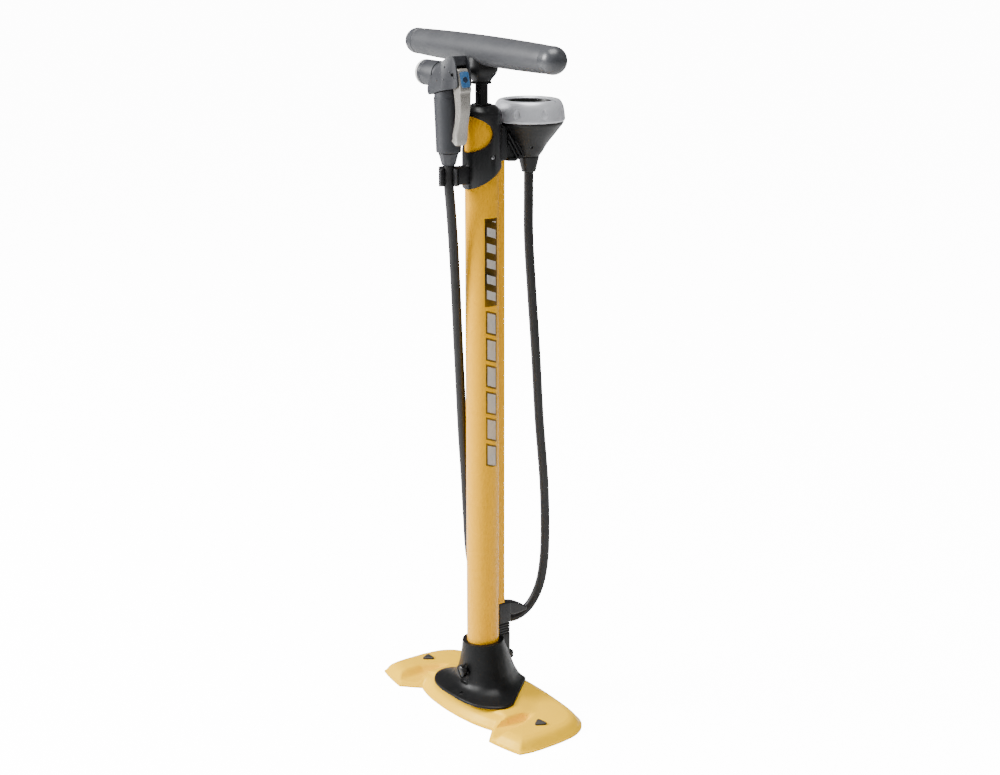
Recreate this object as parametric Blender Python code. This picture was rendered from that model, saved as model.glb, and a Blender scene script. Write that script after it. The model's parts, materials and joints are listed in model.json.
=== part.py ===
"""Floor bike pump with a winged foot, a top gauge, a hose and a lever pump head.

Metres, +Z up.  The origin is on the barrel's axis, on the floor.  +X runs along the
handle and the wings, +Y points to the gauge, and the pump head is parked on -Y.
Each named object is one separate physical piece.
"""
import math

import bmesh
import bpy
from mathutils import Matrix, Vector

# ---------------------------------------------------------------- driving sizes (metres)
GAP = 0.0003                     # between pieces that touch
RUN = 0.0004                     # radial play of pieces that slide or turn

BARREL_R = 0.016
BARREL_WALL = 0.0015
BARREL_BOTTOM = 0.030
BARREL_TOP = 0.5905

RIB_HALF = 0.005                 # air channel moulded along the barrel's +Y side
RIB_DEPTH = 0.0078               # how far it stands out of the barrel
RIB_BOTTOM = 0.103
RIB_TOP = BARREL_TOP - 0.0305
CHANNEL_R = 0.0018

BOOT_TOP = 0.0685
BOOT_WALL = 0.0043
FLANGE_Z = 0.0168                # underside of the boot's flange
FLANGE_LIP = 0.0018

PLATE_BOTTOM = 0.0008            # the rim hangs just clear of the floor
PLATE_LIP = 0.0030
PLATE_SHOULDER = 0.0095
PLATE_TOP = 0.0125
PLATE_WALL = 0.0025
RECESS_FLOOR = 0.0050
POCKET_ROOF = 0.0080
FOOT_X = 0.0955
FOOT_Y = -0.0015
FOOT_R = 0.010
FOOT_STEM_R = 0.0030
CENTRE_FOOT_R = 0.016

CLAMP_SCREW_Z = 0.040
CLAMP_SCREW_HEAD_R = 0.0065
CLAMP_SCREW_SHANK_R = 0.0025
CLAMP_SCREW_FACE = -0.0295
GROOVE_Y = -0.0265
GROOVE_R = 0.0080

PLUG_TOP = 0.0480
VALVE_R = 0.0038
VALVE_LIFT = 0.0015
AIR_R = 0.0015
PASSAGE_Z = 0.0440               # cross bore from the valve out to the foot fitting
VALVE_SEAT_Z = 0.0362

FOOT_FITTING_HALF = 0.0058
FITTING_PROUD = 0.0072           # how far the foot fitting stands out past the rib
FOOT_BLOCK_Z = 0.0810
FITTING_BOTTOM = 0.040

CAP_WALL = 0.0022
CAP_SHOULDER = BARREL_TOP + 0.0035
CAP_CROWN = BARREL_TOP + 0.0090
CAP_SKIRT_FRONT = BARREL_TOP - 0.0675
CAP_SKIRT_RISE = 0.0112
WINDOW_Z = BARREL_TOP - 0.0163
WINDOW_HALF = 0.0170
WINDOW_REACH = math.radians(90.7)
CAP_SCREW_Z = BARREL_TOP - 0.0375
CAP_SCREW_R = 0.0022

CLIP_BOTTOM = BARREL_TOP - 0.0630
CLIP_TOP = BARREL_TOP - 0.0450
CLIP_WALL = 0.0040
CLIP_MOUTH = math.radians(48.0)      # half the angle of the clip's mouth
CLIP_HEADING = math.radians(-35.0)   # the way the mouth faces

ROD_R = 0.0060
ROD_WALL = 0.0012
PISTON_Z = 0.0525
PISTON_H = 0.0115
SEAL_H = 0.0040
BUMPER_H = 0.0100
BUSH_WALL = 0.0022
STROKE = 0.490

HUB_BOTTOM = BARREL_TOP + 0.0285
HANDLE_Z = BARREL_TOP + 0.0590
GRIP_MID_R = 0.0138
GRIP_END_R = 0.0124
GRIP_HALF = 0.1155
END_CAP_LENGTH = 0.0187
HANDLE_TURN = math.radians(-5.8)

GAUGE_Y = 0.0550
STEM_BOTTOM = BARREL_TOP - 0.0578
STEM_TOP = BARREL_TOP - 0.0430
STEM_R = 0.0100
GAUGE_SEAT = BARREL_TOP - 0.0093              # where the cone's rim meets the bezel
GAUGE_R = 0.0330
SPIGOT_R = 0.0305
SPIGOT_TOP = BARREL_TOP - 0.0017
BEZEL_TOP = BARREL_TOP + 0.0110
BEZEL_OPENING_R = 0.0235
BEZEL_R = 0.0342
LENS_T = 0.0020
DIAL_R = 0.0270
DIAL_Z = BARREL_TOP - 0.0075
PINION_R = 0.0014
GEAR_RATIO = 6.0
CAVITY_FLOOR = BARREL_TOP - 0.0285
SET_SCREW_R = 0.0012
SET_SCREW_Z = BARREL_TOP - 0.0327
SET_SCREW_ANGLE = math.radians(-28.0)
SECTOR_SWING = math.radians(45.0)

HEAD_Y = -0.0375
HEAD_GRIP_BOTTOM = BARREL_TOP - 0.0315
HEAD_GRIP_TOP = BARREL_TOP + 0.0195
HEAD_GRIP_R = 0.0133
HEAD_TAPER_R = 0.0116
NOZZLE_Z = BARREL_TOP + 0.0385
NOZZLE_R = 0.0118
NOZZLE_BORE_R = 0.0058
NOZZLE_END = -0.0335
NOZZLE_CAP_T = 0.0052
COLLAR_ROOT = -0.0102
SEAL_BORE_R = 0.0034
RELIEF_BOTTOM = BARREL_TOP - 0.0435
RELIEF_BOTTOM_R = 0.0068
RELIEF_TOP_R = 0.0098
CHEEK_T = 0.0014
CHEEK_TAPER_X = 0.0104           # where the sides start to close in on the lever
BRIDGE_X = 0.0186                # the bridge over the lever's hinge ends here
BRIDGE_Z = BARREL_TOP + 0.0485
LEVER_X = 0.0190
LEVER_Z = BARREL_TOP + 0.0405
LEVER_HALF = 0.0062
LEVER_PIN_R = 0.0014
PLUNGER_R = 0.0034
PLUNGER_END = 0.0125

HOSE_R = 0.0047
HOSE_BARB_R = 0.0030

# ---------------------------------------------------------------- sizes that follow
BARREL_BORE = BARREL_R - BARREL_WALL
VALVE_CHAMBER_R = VALVE_R + 0.0012
RIB_FACE = BARREL_R + RIB_DEPTH
CHANNEL_Y = BARREL_R + RIB_DEPTH / 2.0
BOOT_R = BARREL_R + GAP + BOOT_WALL
FITTING_FACE = RIB_FACE + FITTING_PROUD
CAP_BORE = BARREL_R + GAP
CAP_R = CAP_BORE + CAP_WALL
ROD_BORE = ROD_R - ROD_WALL
BUSH_BORE = ROD_R + RUN
BUSH_R = BUSH_BORE + BUSH_WALL
PISTON_R = BARREL_BORE - RUN
ROD_TOP = HANDLE_Z - 0.0050
CLIP_BORE = HOSE_R + RUN + GAP
CLIP_R = CLIP_BORE + CLIP_WALL
CHEEK_Y = NOZZLE_R + GAP + CHEEK_T
ROUND = 40                       # sides of a round piece
SMALL_ROUND = 20

# the hose's route, chosen by hand: gauge stem, down, under the hook, behind the barrel, up
HOSE_ROUTE = (
    (0.0000, GAUGE_Y, STEM_BOTTOM - GAP),
    (0.0000, GAUGE_Y, BARREL_TOP - 0.0825),
    (0.0000, 0.0553, BARREL_TOP - 0.1205),
    (0.0000, 0.0590, BARREL_TOP - 0.1705),
    (0.0000, 0.0645, BARREL_TOP - 0.2355),
    (0.0000, 0.0695, 0.2850),
    (-0.0002, 0.0760, 0.2200),
    (-0.0008, 0.0784, 0.1700),
    (-0.0018, 0.0778, 0.1330),
    (-0.0038, 0.0728, 0.1050),
    (-0.0072, 0.0615, 0.0850),
    (-0.0118, 0.0460, 0.0765),
    (-0.0172, 0.0318, 0.0805),
    (-0.0222, 0.0205, 0.0945),
    (-0.0258, 0.0110, 0.1170),
    (-0.0272, 0.0040, 0.1500),
    (-0.0265, 0.0005, 0.1900),
    (-0.0243, -0.0035, 0.2350),
    (-0.0215, -0.0085, 0.2800),
    (-0.0178, -0.0135, BARREL_TOP - 0.2605),
    (-0.0135, -0.0190, BARREL_TOP - 0.2105),
    (-0.0088, -0.0245, BARREL_TOP - 0.1605),
    (-0.0045, -0.0300, BARREL_TOP - 0.1155),
    (-0.0012, -0.0348, BARREL_TOP - 0.0825),
    (0.0000, HEAD_Y, BARREL_TOP - 0.0625),
    (0.0000, HEAD_Y, RELIEF_BOTTOM - GAP),
)
HOSE_POINTS = 72


# ---------------------------------------------------------------- scene and materials
def clear_scene():
    for item in list(bpy.data.objects):
        bpy.data.objects.remove(item, do_unlink=True)


def make_material(name, colour, roughness, metallic=0.0):
    made = bpy.data.materials.new(name)
    made.use_nodes = True
    shader = made.node_tree.nodes["Principled BSDF"]
    shader.inputs["Base Color"].default_value = (*colour, 1.0)
    shader.inputs["Roughness"].default_value = roughness
    shader.inputs["Metallic"].default_value = metallic
    return made


FINISHES = {
    "yellow": ((0.88, 0.56, 0.10), 0.35, 0.0),
    "black": ((0.020, 0.020, 0.022), 0.45, 0.0),
    "charcoal": ((0.055, 0.055, 0.060), 0.45, 0.0),
    "grip": ((0.115, 0.120, 0.130), 0.60, 0.0),
    "head": ((0.085, 0.090, 0.100), 0.55, 0.0),
    "rubber": ((0.015, 0.015, 0.015), 0.80, 0.0),
    "silver": ((0.62, 0.63, 0.65), 0.35, 0.6),
    "steel": ((0.60, 0.60, 0.60), 0.25, 1.0),
    "brass": ((0.70, 0.52, 0.22), 0.30, 1.0),
    "white": ((0.80, 0.80, 0.78), 0.40, 0.0),
    "blue": ((0.05, 0.15, 0.35), 0.35, 0.0),
    "lens": ((0.85, 0.90, 0.92), 0.05, 0.0),
}


def place(name, mesh, finish, carrier=None):
    """Make the named piece; its own material carries the finish's values."""
    made = bpy.data.objects.new(name, mesh)
    bpy.context.collection.objects.link(made)
    mesh_data = made.data
    mesh_data.materials.append(make_material(name + "_finish", *FINISHES[finish]))
    if carrier is not None:
        made.parent = carrier
        made.location = -carrier.location
    return made


def piece(name, bm, finish, carrier=None, sharp=35.0):
    """Turn a bmesh into a named piece, smooth except across sharp edges."""
    bmesh.ops.recalc_face_normals(bm, faces=bm.faces)
    if bm.calc_volume(signed=True) < 0.0:
        bmesh.ops.reverse_faces(bm, faces=bm.faces)
    mesh = bpy.data.meshes.new(name)
    bm.to_mesh(mesh)
    bm.free()
    mesh.shade_smooth()
    mesh.set_sharp_from_angle(angle=math.radians(sharp))
    return place(name, mesh, finish, carrier)


def guide(name, bm, carrier=None):
    """A cutter or an added shape: it stays hidden and is left out of the model."""
    made = piece(name, bm, "black", carrier)
    made.hide_render = True
    made.display_type = "WIRE"
    return made


def combine(target, other_bm, operation, carrier=None):
    """Cut a shape from the target, or join it on, with a Boolean modifier."""
    count = len(target.modifiers)
    other = guide(f"{target.name}_{operation.lower()}_{count}", other_bm, carrier)
    step = target.modifiers.new(f"{operation.lower()}_{count}", "BOOLEAN")
    step.operation = operation
    step.solver = "EXACT"
    step.object = other


def cut(target, other_bm, carrier=None):
    combine(target, other_bm, "DIFFERENCE", carrier)


def join(target, other_bm, carrier=None):
    combine(target, other_bm, "UNION", carrier)


def carrier_at(name, position):
    """An empty on a joint's axis, which carries a moving body's pieces."""
    made = bpy.data.objects.new(name, None)
    made.location = position
    bpy.context.collection.objects.link(made)
    return made


# ---------------------------------------------------------------- shapes
def turned(profile, sides=ROUND, closed=True):
    """Turn (radius, z) points about Z.

    A closed profile goes right round a ring's section; an open one starts and ends on the
    axis, where a flat face closes each end.
    """
    points = profile
    if not closed:
        points = [point for point in profile if point[0] > 0.0]
    phase = math.pi / sides
    angles = [phase + 2.0 * math.pi * i / sides for i in range(sides)]
    bm = bmesh.new()
    rings = [[bm.verts.new((radius * math.cos(a), radius * math.sin(a), z)) for a in angles]
             for radius, z in points]
    pairs = list(zip(rings, rings[1:]))
    if closed:
        pairs.append((rings[-1], rings[0]))
    for lower, upper in pairs:
        for i in range(sides):
            j = (i + 1) % sides
            bm.faces.new((lower[i], lower[j], upper[j], upper[i]))
    if not closed:
        bm.faces.new(rings[0])
        bm.faces.new(rings[-1])
    bmesh.ops.recalc_face_normals(bm, faces=bm.faces)
    return bm


def rod_shape(radius, low, high, sides=ROUND):
    """A solid round bar on Z."""
    return turned([(radius, low), (radius, high)], sides, closed=False)


def tube_shape(outer, inner, low, high, sides=ROUND):
    return turned([(inner, low), (outer, low), (outer, high), (inner, high)], sides)


def loft(rings):
    """Join rings of equally many points and close both ends."""
    bm = bmesh.new()
    loops = [[bm.verts.new(point) for point in ring] for ring in rings]
    for lower, upper in zip(loops, loops[1:]):
        for i in range(len(lower)):
            j = (i + 1) % len(lower)
            bm.faces.new((lower[i], lower[j], upper[j], upper[i]))
    bm.faces.new(loops[0])
    bm.faces.new(loops[-1])
    bmesh.ops.recalc_face_normals(bm, faces=bm.faces)
    return bm


def prism(outline, low, high):
    """Extrude an (x, y) outline along Z."""
    return loft([[(x, y, low) for x, y in outline], [(x, y, high) for x, y in outline]])


def side_prism(outline, middle_y, half):
    """Extrude an (x, z) outline along Y."""
    return loft([[(x, middle_y - half, z) for x, z in outline],
                 [(x, middle_y + half, z) for x, z in outline]])


def box(low, high):
    return prism([(low[0], low[1]), (high[0], low[1]), (high[0], high[1]), (low[0], high[1])],
                 low[2], high[2])


def side_box(side, low, high):
    """A box on +X, or its mirror image when side is -1."""
    if side > 0.0:
        return box(low, high)
    return box((-high[0], low[1], low[2]), (-low[0], high[1], high[2]))


def moved(bm, offset=(0.0, 0.0, 0.0), turn=None):
    """Turn a shape about the origin, then shift it."""
    if turn is not None:
        bm.transform(turn)
    bm.transform(Matrix.Translation(offset))
    return bm


def along_x(bm, offset):
    """Lay a shape made on +Z along +X."""
    return moved(bm, offset, Matrix.Rotation(math.radians(90.0), 4, "Y"))


def along_y(bm, offset):
    """Lay a shape made on +Z along +Y."""
    return moved(bm, offset, Matrix.Rotation(math.radians(-90.0), 4, "X"))


def mirrored(half):
    """Close a half outline with its copy across the YZ plane; it starts and ends at x = 0."""
    return list(half) + [(-x, y) for x, y in reversed(half[1:-1])]


def smooth_line(points, count):
    """Equally spaced points on a smooth curve through the given ones."""
    line = [Vector(p) for p in points]
    padded = [2 * line[0] - line[1]] + line + [2 * line[-1] - line[-2]]
    fine = []
    for a, b, c, d in zip(padded, padded[1:], padded[2:], padded[3:]):
        for step in range(24):
            t = step / 24.0
            fine.append(0.5 * (2 * b + (c - a) * t + (2 * a - 5 * b + 4 * c - d) * t ** 2
                               + (3 * b - a - 3 * c + d) * t ** 3))
    fine.append(line[-1])
    lengths = [0.0]
    for a, b in zip(fine, fine[1:]):
        lengths.append(lengths[-1] + (b - a).length)
    spaced = []
    at = 0
    for i in range(count):
        want = lengths[-1] * i / (count - 1)
        while at < len(lengths) - 2 and lengths[at + 1] < want:
            at += 1
        share = (want - lengths[at]) / (lengths[at + 1] - lengths[at])
        spaced.append(fine[at].lerp(fine[at + 1], min(max(share, 0.0), 1.0)))
    return spaced


# ---------------------------------------------------------------- foot
PLATE_HALF = (
    (0.0000, -0.0425), (0.0155, -0.0420), (0.0372, -0.0397), (0.0605, -0.0340),
    (0.0777, -0.0499), (0.0980, -0.0470), (0.1173, -0.0430), (0.1200, -0.0300),
    (0.1207, -0.0140), (0.1200, 0.0070), (0.1168, 0.0250), (0.1090, 0.0390),
    (0.0970, 0.0480), (0.0800, 0.0525), (0.0560, 0.0555), (0.0280, 0.0578), (0.0000, 0.0585),
)
FLANGE_HALF = (
    (0.0000, -0.0390), (0.0180, -0.0383), (0.0340, -0.0350), (0.0450, -0.0287),
    (0.0525, -0.0203), (0.0555, -0.0112), (0.0535, -0.0020), (0.0400, 0.0135),
    (0.0260, 0.0293), (0.0140, 0.0430), (0.0080, 0.0450), (0.0000, 0.0455),
)
RECESS_FLOOR_LINE = (
    (0.0780, -0.0560), (0.0825, -0.0370), (0.0815, -0.0190), (0.0735, 0.0020),
    (0.0700, 0.0035), (0.0685, -0.0050), (0.0685, -0.0210), (0.0645, -0.0330), (0.0580, -0.0560),
)


def grown(outline, margin):
    """Push each point of an outline away from the outline's middle by a margin."""
    middle = Vector((sum(x for x, _ in outline), sum(y for _, y in outline))) / len(outline)
    result = []
    for point in outline:
        away = Vector(point) - middle
        result.append(tuple(Vector(point) + away.normalized() * margin))
    return result


def plate_blank():
    """The winged plate: an upright lip, a sloping skirt and a flat top."""
    bm = prism(mirrored(PLATE_HALF), PLATE_BOTTOM, PLATE_LIP)
    top = max(bm.faces, key=lambda face: face.calc_center_median().z)
    bmesh.ops.inset_region(bm, faces=[top], thickness=0.0040, use_even_offset=True)
    bmesh.ops.translate(bm, verts=top.verts, vec=(0, 0, PLATE_SHOULDER - PLATE_LIP))
    bmesh.ops.inset_region(bm, faces=[top], thickness=0.0050, use_even_offset=True)
    bmesh.ops.translate(bm, verts=top.verts, vec=(0, 0, PLATE_TOP - PLATE_SHOULDER))
    return bm


def flange_ring(margin, z):
    return [(x, y, z) for x, y in grown(mirrored(FLANGE_HALF), margin)]


def make_plate():
    plate = piece("base_plate", plate_blank(), "yellow")
    seat = FLANGE_Z - GAP
    join(plate, loft([flange_ring(0.0020, PLATE_LIP), flange_ring(0.0020, PLATE_SHOULDER),
                      flange_ring(-0.0010, seat)]))
    for side in (1.0, -1.0):
        floor = [(side * x, y, RECESS_FLOOR) for x, y in RECESS_FLOOR_LINE]
        mouth = [(side * x, y, 0.030) for x, y in grown(RECESS_FLOOR_LINE, 0.0080)]
        cut(plate, loft([floor, mouth]))
        cut(plate, moved(rod_shape(FOOT_R + RUN, -0.010, PLATE_TOP - PLATE_WALL, SMALL_ROUND),
                         (side * FOOT_X, FOOT_Y, 0.0)))
        cut(plate, moved(rod_shape(FOOT_STEM_R + GAP, -0.010, 0.030, SMALL_ROUND),
                         (side * FOOT_X, FOOT_Y, 0.0)))
        cut(plate, side_box(side, (0.0220, -0.0240, -0.010), (0.0490, 0.0330, POCKET_ROOF)))
        cut(plate, side_box(side, (0.0570, 0.0120, -0.010), (0.0980, 0.0390, POCKET_ROOF)))
    cut(plate, rod_shape(CENTRE_FOOT_R + RUN, -0.010, 0.030))


def make_feet():
    """Rubber feet: a pad below, a stem through the plate and a plug on top."""
    for side, name in ((1.0, "wing_foot_right"), (-1.0, "wing_foot_left")):
        roof = PLATE_TOP - PLATE_WALL - GAP
        top = PLATE_TOP + GAP
        profile = [(0.0, 0.0), (FOOT_R - 0.001, 0.0), (FOOT_R, 0.001), (FOOT_R, roof),
                   (FOOT_STEM_R, roof), (FOOT_STEM_R, top), (0.0066, top),
                   (0.0056, top + 0.0012), (0.0030, top + 0.0020), (0.0008, top + 0.0023)]
        piece(name, moved(turned(profile, SMALL_ROUND, closed=False),
                          (side * FOOT_X, FOOT_Y, 0.0)), "rubber")
    top = FLANGE_Z - GAP
    profile = [(0.0, 0.0), (CENTRE_FOOT_R - 0.001, 0.0), (CENTRE_FOOT_R, 0.001),
               (CENTRE_FOOT_R, top), (0.0, top)]
    piece("centre_foot", turned(profile, ROUND, closed=False), "rubber")


def boot_ring(z, front, back):
    """One level of the boot: front and back say how far it has spread to the flange."""
    ring = []
    for x, y in mirrored(FLANGE_HALF):
        edge = Vector((x, y))
        neck = edge.normalized() * BOOT_R
        behind = 0.5 + 0.5 * edge.normalized().y
        spread = front + (back - front) * behind
        ring.append((*neck.lerp(edge, spread), z))
    return ring


def make_boot():
    levels = (
        (FLANGE_Z, 1.0, 1.0), (FLANGE_Z + FLANGE_LIP, 0.96, 0.98), (0.0212, 0.64, 0.86),
        (0.0240, 0.36, 0.76), (0.0285, 0.19, 0.64), (0.0345, 0.11, 0.53), (0.0440, 0.06, 0.38),
        (0.0540, 0.03, 0.22), (0.0620, 0.01, 0.08), (BOOT_TOP, 0.0, 0.0),
    )
    boot = piece("boot", loft([boot_ring(z, front, back) for z, front, back in levels]), "charcoal")
    cut(boot, rod_shape(BARREL_R + GAP, BARREL_BOTTOM - GAP, BOOT_TOP + 0.01))
    groove = moved(rod_shape(GROOVE_R, 0.0300, 0.0600, SMALL_ROUND), (0.0, GROOVE_Y - GROOVE_R / 2, 0.0))
    cut(boot, groove)
    cut(boot, along_y(rod_shape(CLAMP_SCREW_SHANK_R + GAP, -0.060, 0.0, SMALL_ROUND),
                      (0.0, 0.0, CLAMP_SCREW_Z)))
    cut(boot, fitting_body(RUN / 2.0, BARREL_R))
    return boot


def make_clamp_screw():
    """The slotted screw that clamps the boot, the barrel and its plug together."""
    inner = -(BARREL_BORE - 0.0045)
    head = CLAMP_SCREW_FACE
    under = head + 0.0055
    profile = [(0.0, head), (CLAMP_SCREW_HEAD_R - 0.0006, head), (CLAMP_SCREW_HEAD_R, head + 0.0006),
               (CLAMP_SCREW_HEAD_R, under), (CLAMP_SCREW_SHANK_R, under),
               (CLAMP_SCREW_SHANK_R, inner), (0.0, inner)]
    screw = piece("clamp_screw", along_y(turned(profile, SMALL_ROUND, closed=False),
                                         (0.0, 0.0, CLAMP_SCREW_Z)), "black")
    slot = moved(box((-0.0075, head - 0.002, -0.0007), (0.0075, head + 0.0014, 0.0007)),
                 (0.0, 0.0, CLAMP_SCREW_Z), Matrix.Rotation(math.radians(-35.0), 4, "Y"))
    cut(screw, slot)


# ---------------------------------------------------------------- barrel and what it holds
def make_barrel():
    barrel = piece("barrel", rod_shape(BARREL_R, BARREL_BOTTOM, BARREL_TOP, 48), "yellow")
    corner = 0.0018
    rib = [(-RIB_HALF, 0.008), (RIB_HALF, 0.008), (RIB_HALF, RIB_FACE - corner),
           (RIB_HALF - corner * 0.3, RIB_FACE - corner * 0.3), (RIB_HALF - corner, RIB_FACE),
           (-RIB_HALF + corner, RIB_FACE), (-RIB_HALF + corner * 0.3, RIB_FACE - corner * 0.3),
           (-RIB_HALF, RIB_FACE - corner)]
    join(barrel, prism(rib, RIB_BOTTOM, RIB_TOP))
    cut(barrel, rod_shape(BARREL_BORE, 0.0, 1.0, 48))
    cut(barrel, moved(rod_shape(CHANNEL_R, 0.0, 1.0, 12), (0.0, CHANNEL_Y, 0.0)))
    cut(barrel, along_y(rod_shape(CLAMP_SCREW_SHANK_R + GAP, -0.030, -0.005, SMALL_ROUND),
                        (0.0, 0.0, CLAMP_SCREW_Z)))
    cut(barrel, along_y(rod_shape(AIR_R, 0.005, 0.030, 12), (0.0, 0.0, PASSAGE_Z)))
    cut(barrel, along_x(rod_shape(CAP_SCREW_R * 0.55 + GAP, -0.030, 0.030, 12),
                        (0.0, 0.0, CAP_SCREW_Z)))


def make_barrel_plug():
    """The plug that closes the barrel's foot and holds the check valve."""
    radius = BARREL_BORE - GAP
    groove_low = 0.0325
    groove_high = groove_low + 0.0030
    profile = [(0.0, BARREL_BOTTOM), (radius, BARREL_BOTTOM), (radius, groove_low),
               (radius - 0.0022, groove_low), (radius - 0.0022, groove_high), (radius, groove_high),
               (radius, PLUG_TOP), (0.0, PLUG_TOP)]
    plug = piece("barrel_plug", turned(profile, ROUND, closed=False), "black")
    cut(plug, rod_shape(VALVE_CHAMBER_R, VALVE_SEAT_Z, PLUG_TOP + 0.01, SMALL_ROUND))
    cut(plug, along_y(rod_shape(AIR_R, 0.0, 0.030, 12), (0.0, 0.0, PASSAGE_Z)))
    cut(plug, along_y(rod_shape(CLAMP_SCREW_SHANK_R + GAP, -0.030, -(BARREL_BORE - 0.0050),
                                SMALL_ROUND), (0.0, 0.0, CLAMP_SCREW_Z)))
    ring = [(radius - 0.0022 + GAP, groove_low + GAP), (radius - 0.0001, groove_low + GAP),
            (radius - 0.0001, groove_high - GAP), (radius - 0.0022 + GAP, groove_high - GAP)]
    piece("plug_o_ring", turned(ring, ROUND), "rubber")
    lift = carrier_at("valve_axis", (0.0, 0.0, VALVE_SEAT_Z))
    low = VALVE_SEAT_Z + GAP
    disc = [(0.0, low), (VALVE_R, low), (VALVE_R, low + 0.0024), (0.0016, low + 0.0030),
            (0.0016, low + 0.0055), (0.0, low + 0.0055)]
    piece("check_valve", turned(disc, SMALL_ROUND, closed=False), "rubber", lift)


def fitting_body(margin, inner_y):
    """The upright column of the foot fitting, a margin larger all round."""
    half = FOOT_FITTING_HALF + margin
    outer = FITTING_FACE + margin
    return box((-half, inner_y, FITTING_BOTTOM - margin), (half, outer, RIB_BOTTOM - GAP))


def make_foot_fitting():
    """Ribbed fitting from the boot up to the rib, with the hook that holds the hose down."""
    inner = BARREL_R + GAP
    fitting = piece("foot_fitting", fitting_body(0.0, inner), "black")
    low_inner = BOOT_R + 0.0004
    outer = FITTING_FACE
    hook = [(outer - 0.002, 0.1022), (outer + 0.003, 0.1015), (0.0400, 0.0990), (0.0470, 0.0952),
            (0.0520, 0.0905), (0.0510, 0.0882), (0.0450, 0.0872), (outer + 0.006, 0.0872),
            (outer - 0.002, 0.0900)]
    width = FOOT_FITTING_HALF - 0.0006
    arm = loft([[(-width, y, z) for y, z in hook], [(width, y, z) for y, z in hook]])
    join(fitting, arm)
    groove = 0.0014
    for step in range(4):
        z = BOOT_TOP + 0.0020 + step * 0.0030
        for cutter in (box((-0.02, outer - groove, z), (0.02, outer + 0.01, z + 0.0012)),
                       box((FOOT_FITTING_HALF - groove, 0.0, z), (0.02, outer + 0.01, z + 0.0012)),
                       box((-0.02, 0.0, z), (-FOOT_FITTING_HALF + groove, outer + 0.01, z + 0.0012))):
            cut(fitting, cutter)
    cut(fitting, box((-0.02, 0.0, FOOT_BLOCK_Z - 0.0010), (0.02, low_inner - 0.0035, 0.0)))
    cut(fitting, moved(rod_shape(CHANNEL_R, PASSAGE_Z, 0.2, 12), (0.0, CHANNEL_Y, 0.0)))
    cut(fitting, along_y(rod_shape(AIR_R, 0.0, CHANNEL_Y, 12), (0.0, 0.0, PASSAGE_Z)))


# ---------------------------------------------------------------- cap, clip and gauge arm
def skirt_low(angle):
    """Height of the cap's lower edge: lowest at -Y, rising round to +Y."""
    return CAP_SKIRT_FRONT + CAP_SKIRT_RISE * (1.0 - math.cos(angle + math.pi / 2.0))


def make_cap():
    crown_r = BUSH_R + GAP
    roof = BARREL_TOP + GAP
    bm = bmesh.new()
    rings = []
    steps = 48
    for i in range(steps):
        angle = 2.0 * math.pi * (i + 0.5) / steps
        low = skirt_low(angle)
        profile = ((CAP_BORE, low), (CAP_R, low), (CAP_R, CAP_SHOULDER),
                   (CAP_R - 0.0014, CAP_SHOULDER + 0.0030), (CAP_R - 0.0055, CAP_CROWN - 0.0006),
                   (crown_r, CAP_CROWN), (crown_r, roof), (CAP_BORE, roof))
        rings.append([bm.verts.new((r * math.cos(angle), r * math.sin(angle), z))
                      for r, z in profile])
    for i in range(steps):
        here, there = rings[i], rings[(i + 1) % steps]
        for j in range(len(here)):
            k = (j + 1) % len(here)
            bm.faces.new((here[j], here[k], there[k], there[j]))
    cap = piece("top_cap", bm, "black")
    spine_face = RIB_FACE + GAP + 0.0016
    spine_half = RIB_HALF + GAP + 0.0016
    join(cap, box((-spine_half, CAP_BORE + 0.0005, skirt_low(math.pi / 2.0) + 0.001),
                  (spine_half, spine_face, RIB_TOP + 0.0200)))
    cut(cap, cone_clearance())
    cut(cap, window_shape())
    cut(cap, box((-RIB_HALF - GAP, 0.0, 0.5), (RIB_HALF + GAP, RIB_FACE + GAP, RIB_TOP + GAP)))
    cut(cap, along_y(rod_shape(AIR_R, CHANNEL_Y, 0.040, 12), (0.0, 0.0, RIB_TOP + 0.0040)))
    cut(cap, moved(rod_shape(CHANNEL_R, RIB_TOP - 0.001, RIB_TOP + 0.0040, 12), (0.0, CHANNEL_Y, 0.0)))
    for side in (1.0, -1.0):
        low, high = sorted((side * 0.010, side * 0.030))
        cut(cap, along_x(rod_shape(CAP_SCREW_R * 0.55 + GAP, low, high, 12), (0.0, 0.0, CAP_SCREW_Z)))
        seat = side * (CAP_R - 0.0014)
        low, high = sorted((seat, side * 0.030))
        cut(cap, along_x(rod_shape(CAP_SCREW_R + GAP, low, high, 16), (0.0, 0.0, CAP_SCREW_Z)))


def window_shape():
    """The leaf-shaped opening that wraps half way round the cap's front."""
    rings = []
    steps = 30
    for i in range(steps + 1):
        turn = -WINDOW_REACH + 2.0 * WINDOW_REACH * i / steps
        fullness = max(math.cos(turn * (math.pi / 2.0) / WINDOW_REACH), 0.0)
        half = max(WINDOW_HALF * fullness ** 0.5, 0.0002)
        angle = -math.pi / 2.0 + turn
        inner, outer = 0.0100, 0.0240
        quad = [(inner, -half), (outer, -half), (outer, half), (inner, half)]
        rings.append([(r * math.cos(angle), r * math.sin(angle), WINDOW_Z + z) for r, z in quad])
    return loft(rings)


def make_cap_screws():
    for side, name in ((1.0, "cap_screw_right"), (-1.0, "cap_screw_left")):
        head_in = CAP_R - 0.0014 + GAP
        head_out = CAP_R - 0.0001
        shank = CAP_SCREW_R * 0.55
        profile = [(0.0, BARREL_BORE + 0.0003), (shank, BARREL_BORE + 0.0003), (shank, head_in),
                   (CAP_SCREW_R, head_in), (CAP_SCREW_R, head_out - 0.0002),
                   (CAP_SCREW_R - 0.0003, head_out), (0.0, head_out)]
        bm = along_x(turned(profile, 16, closed=False), (0.0, 0.0, CAP_SCREW_Z))
        if side < 0.0:
            bm.transform(Matrix.Rotation(math.pi, 4, "Z"))
        piece(name, bm, "steel")


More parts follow.
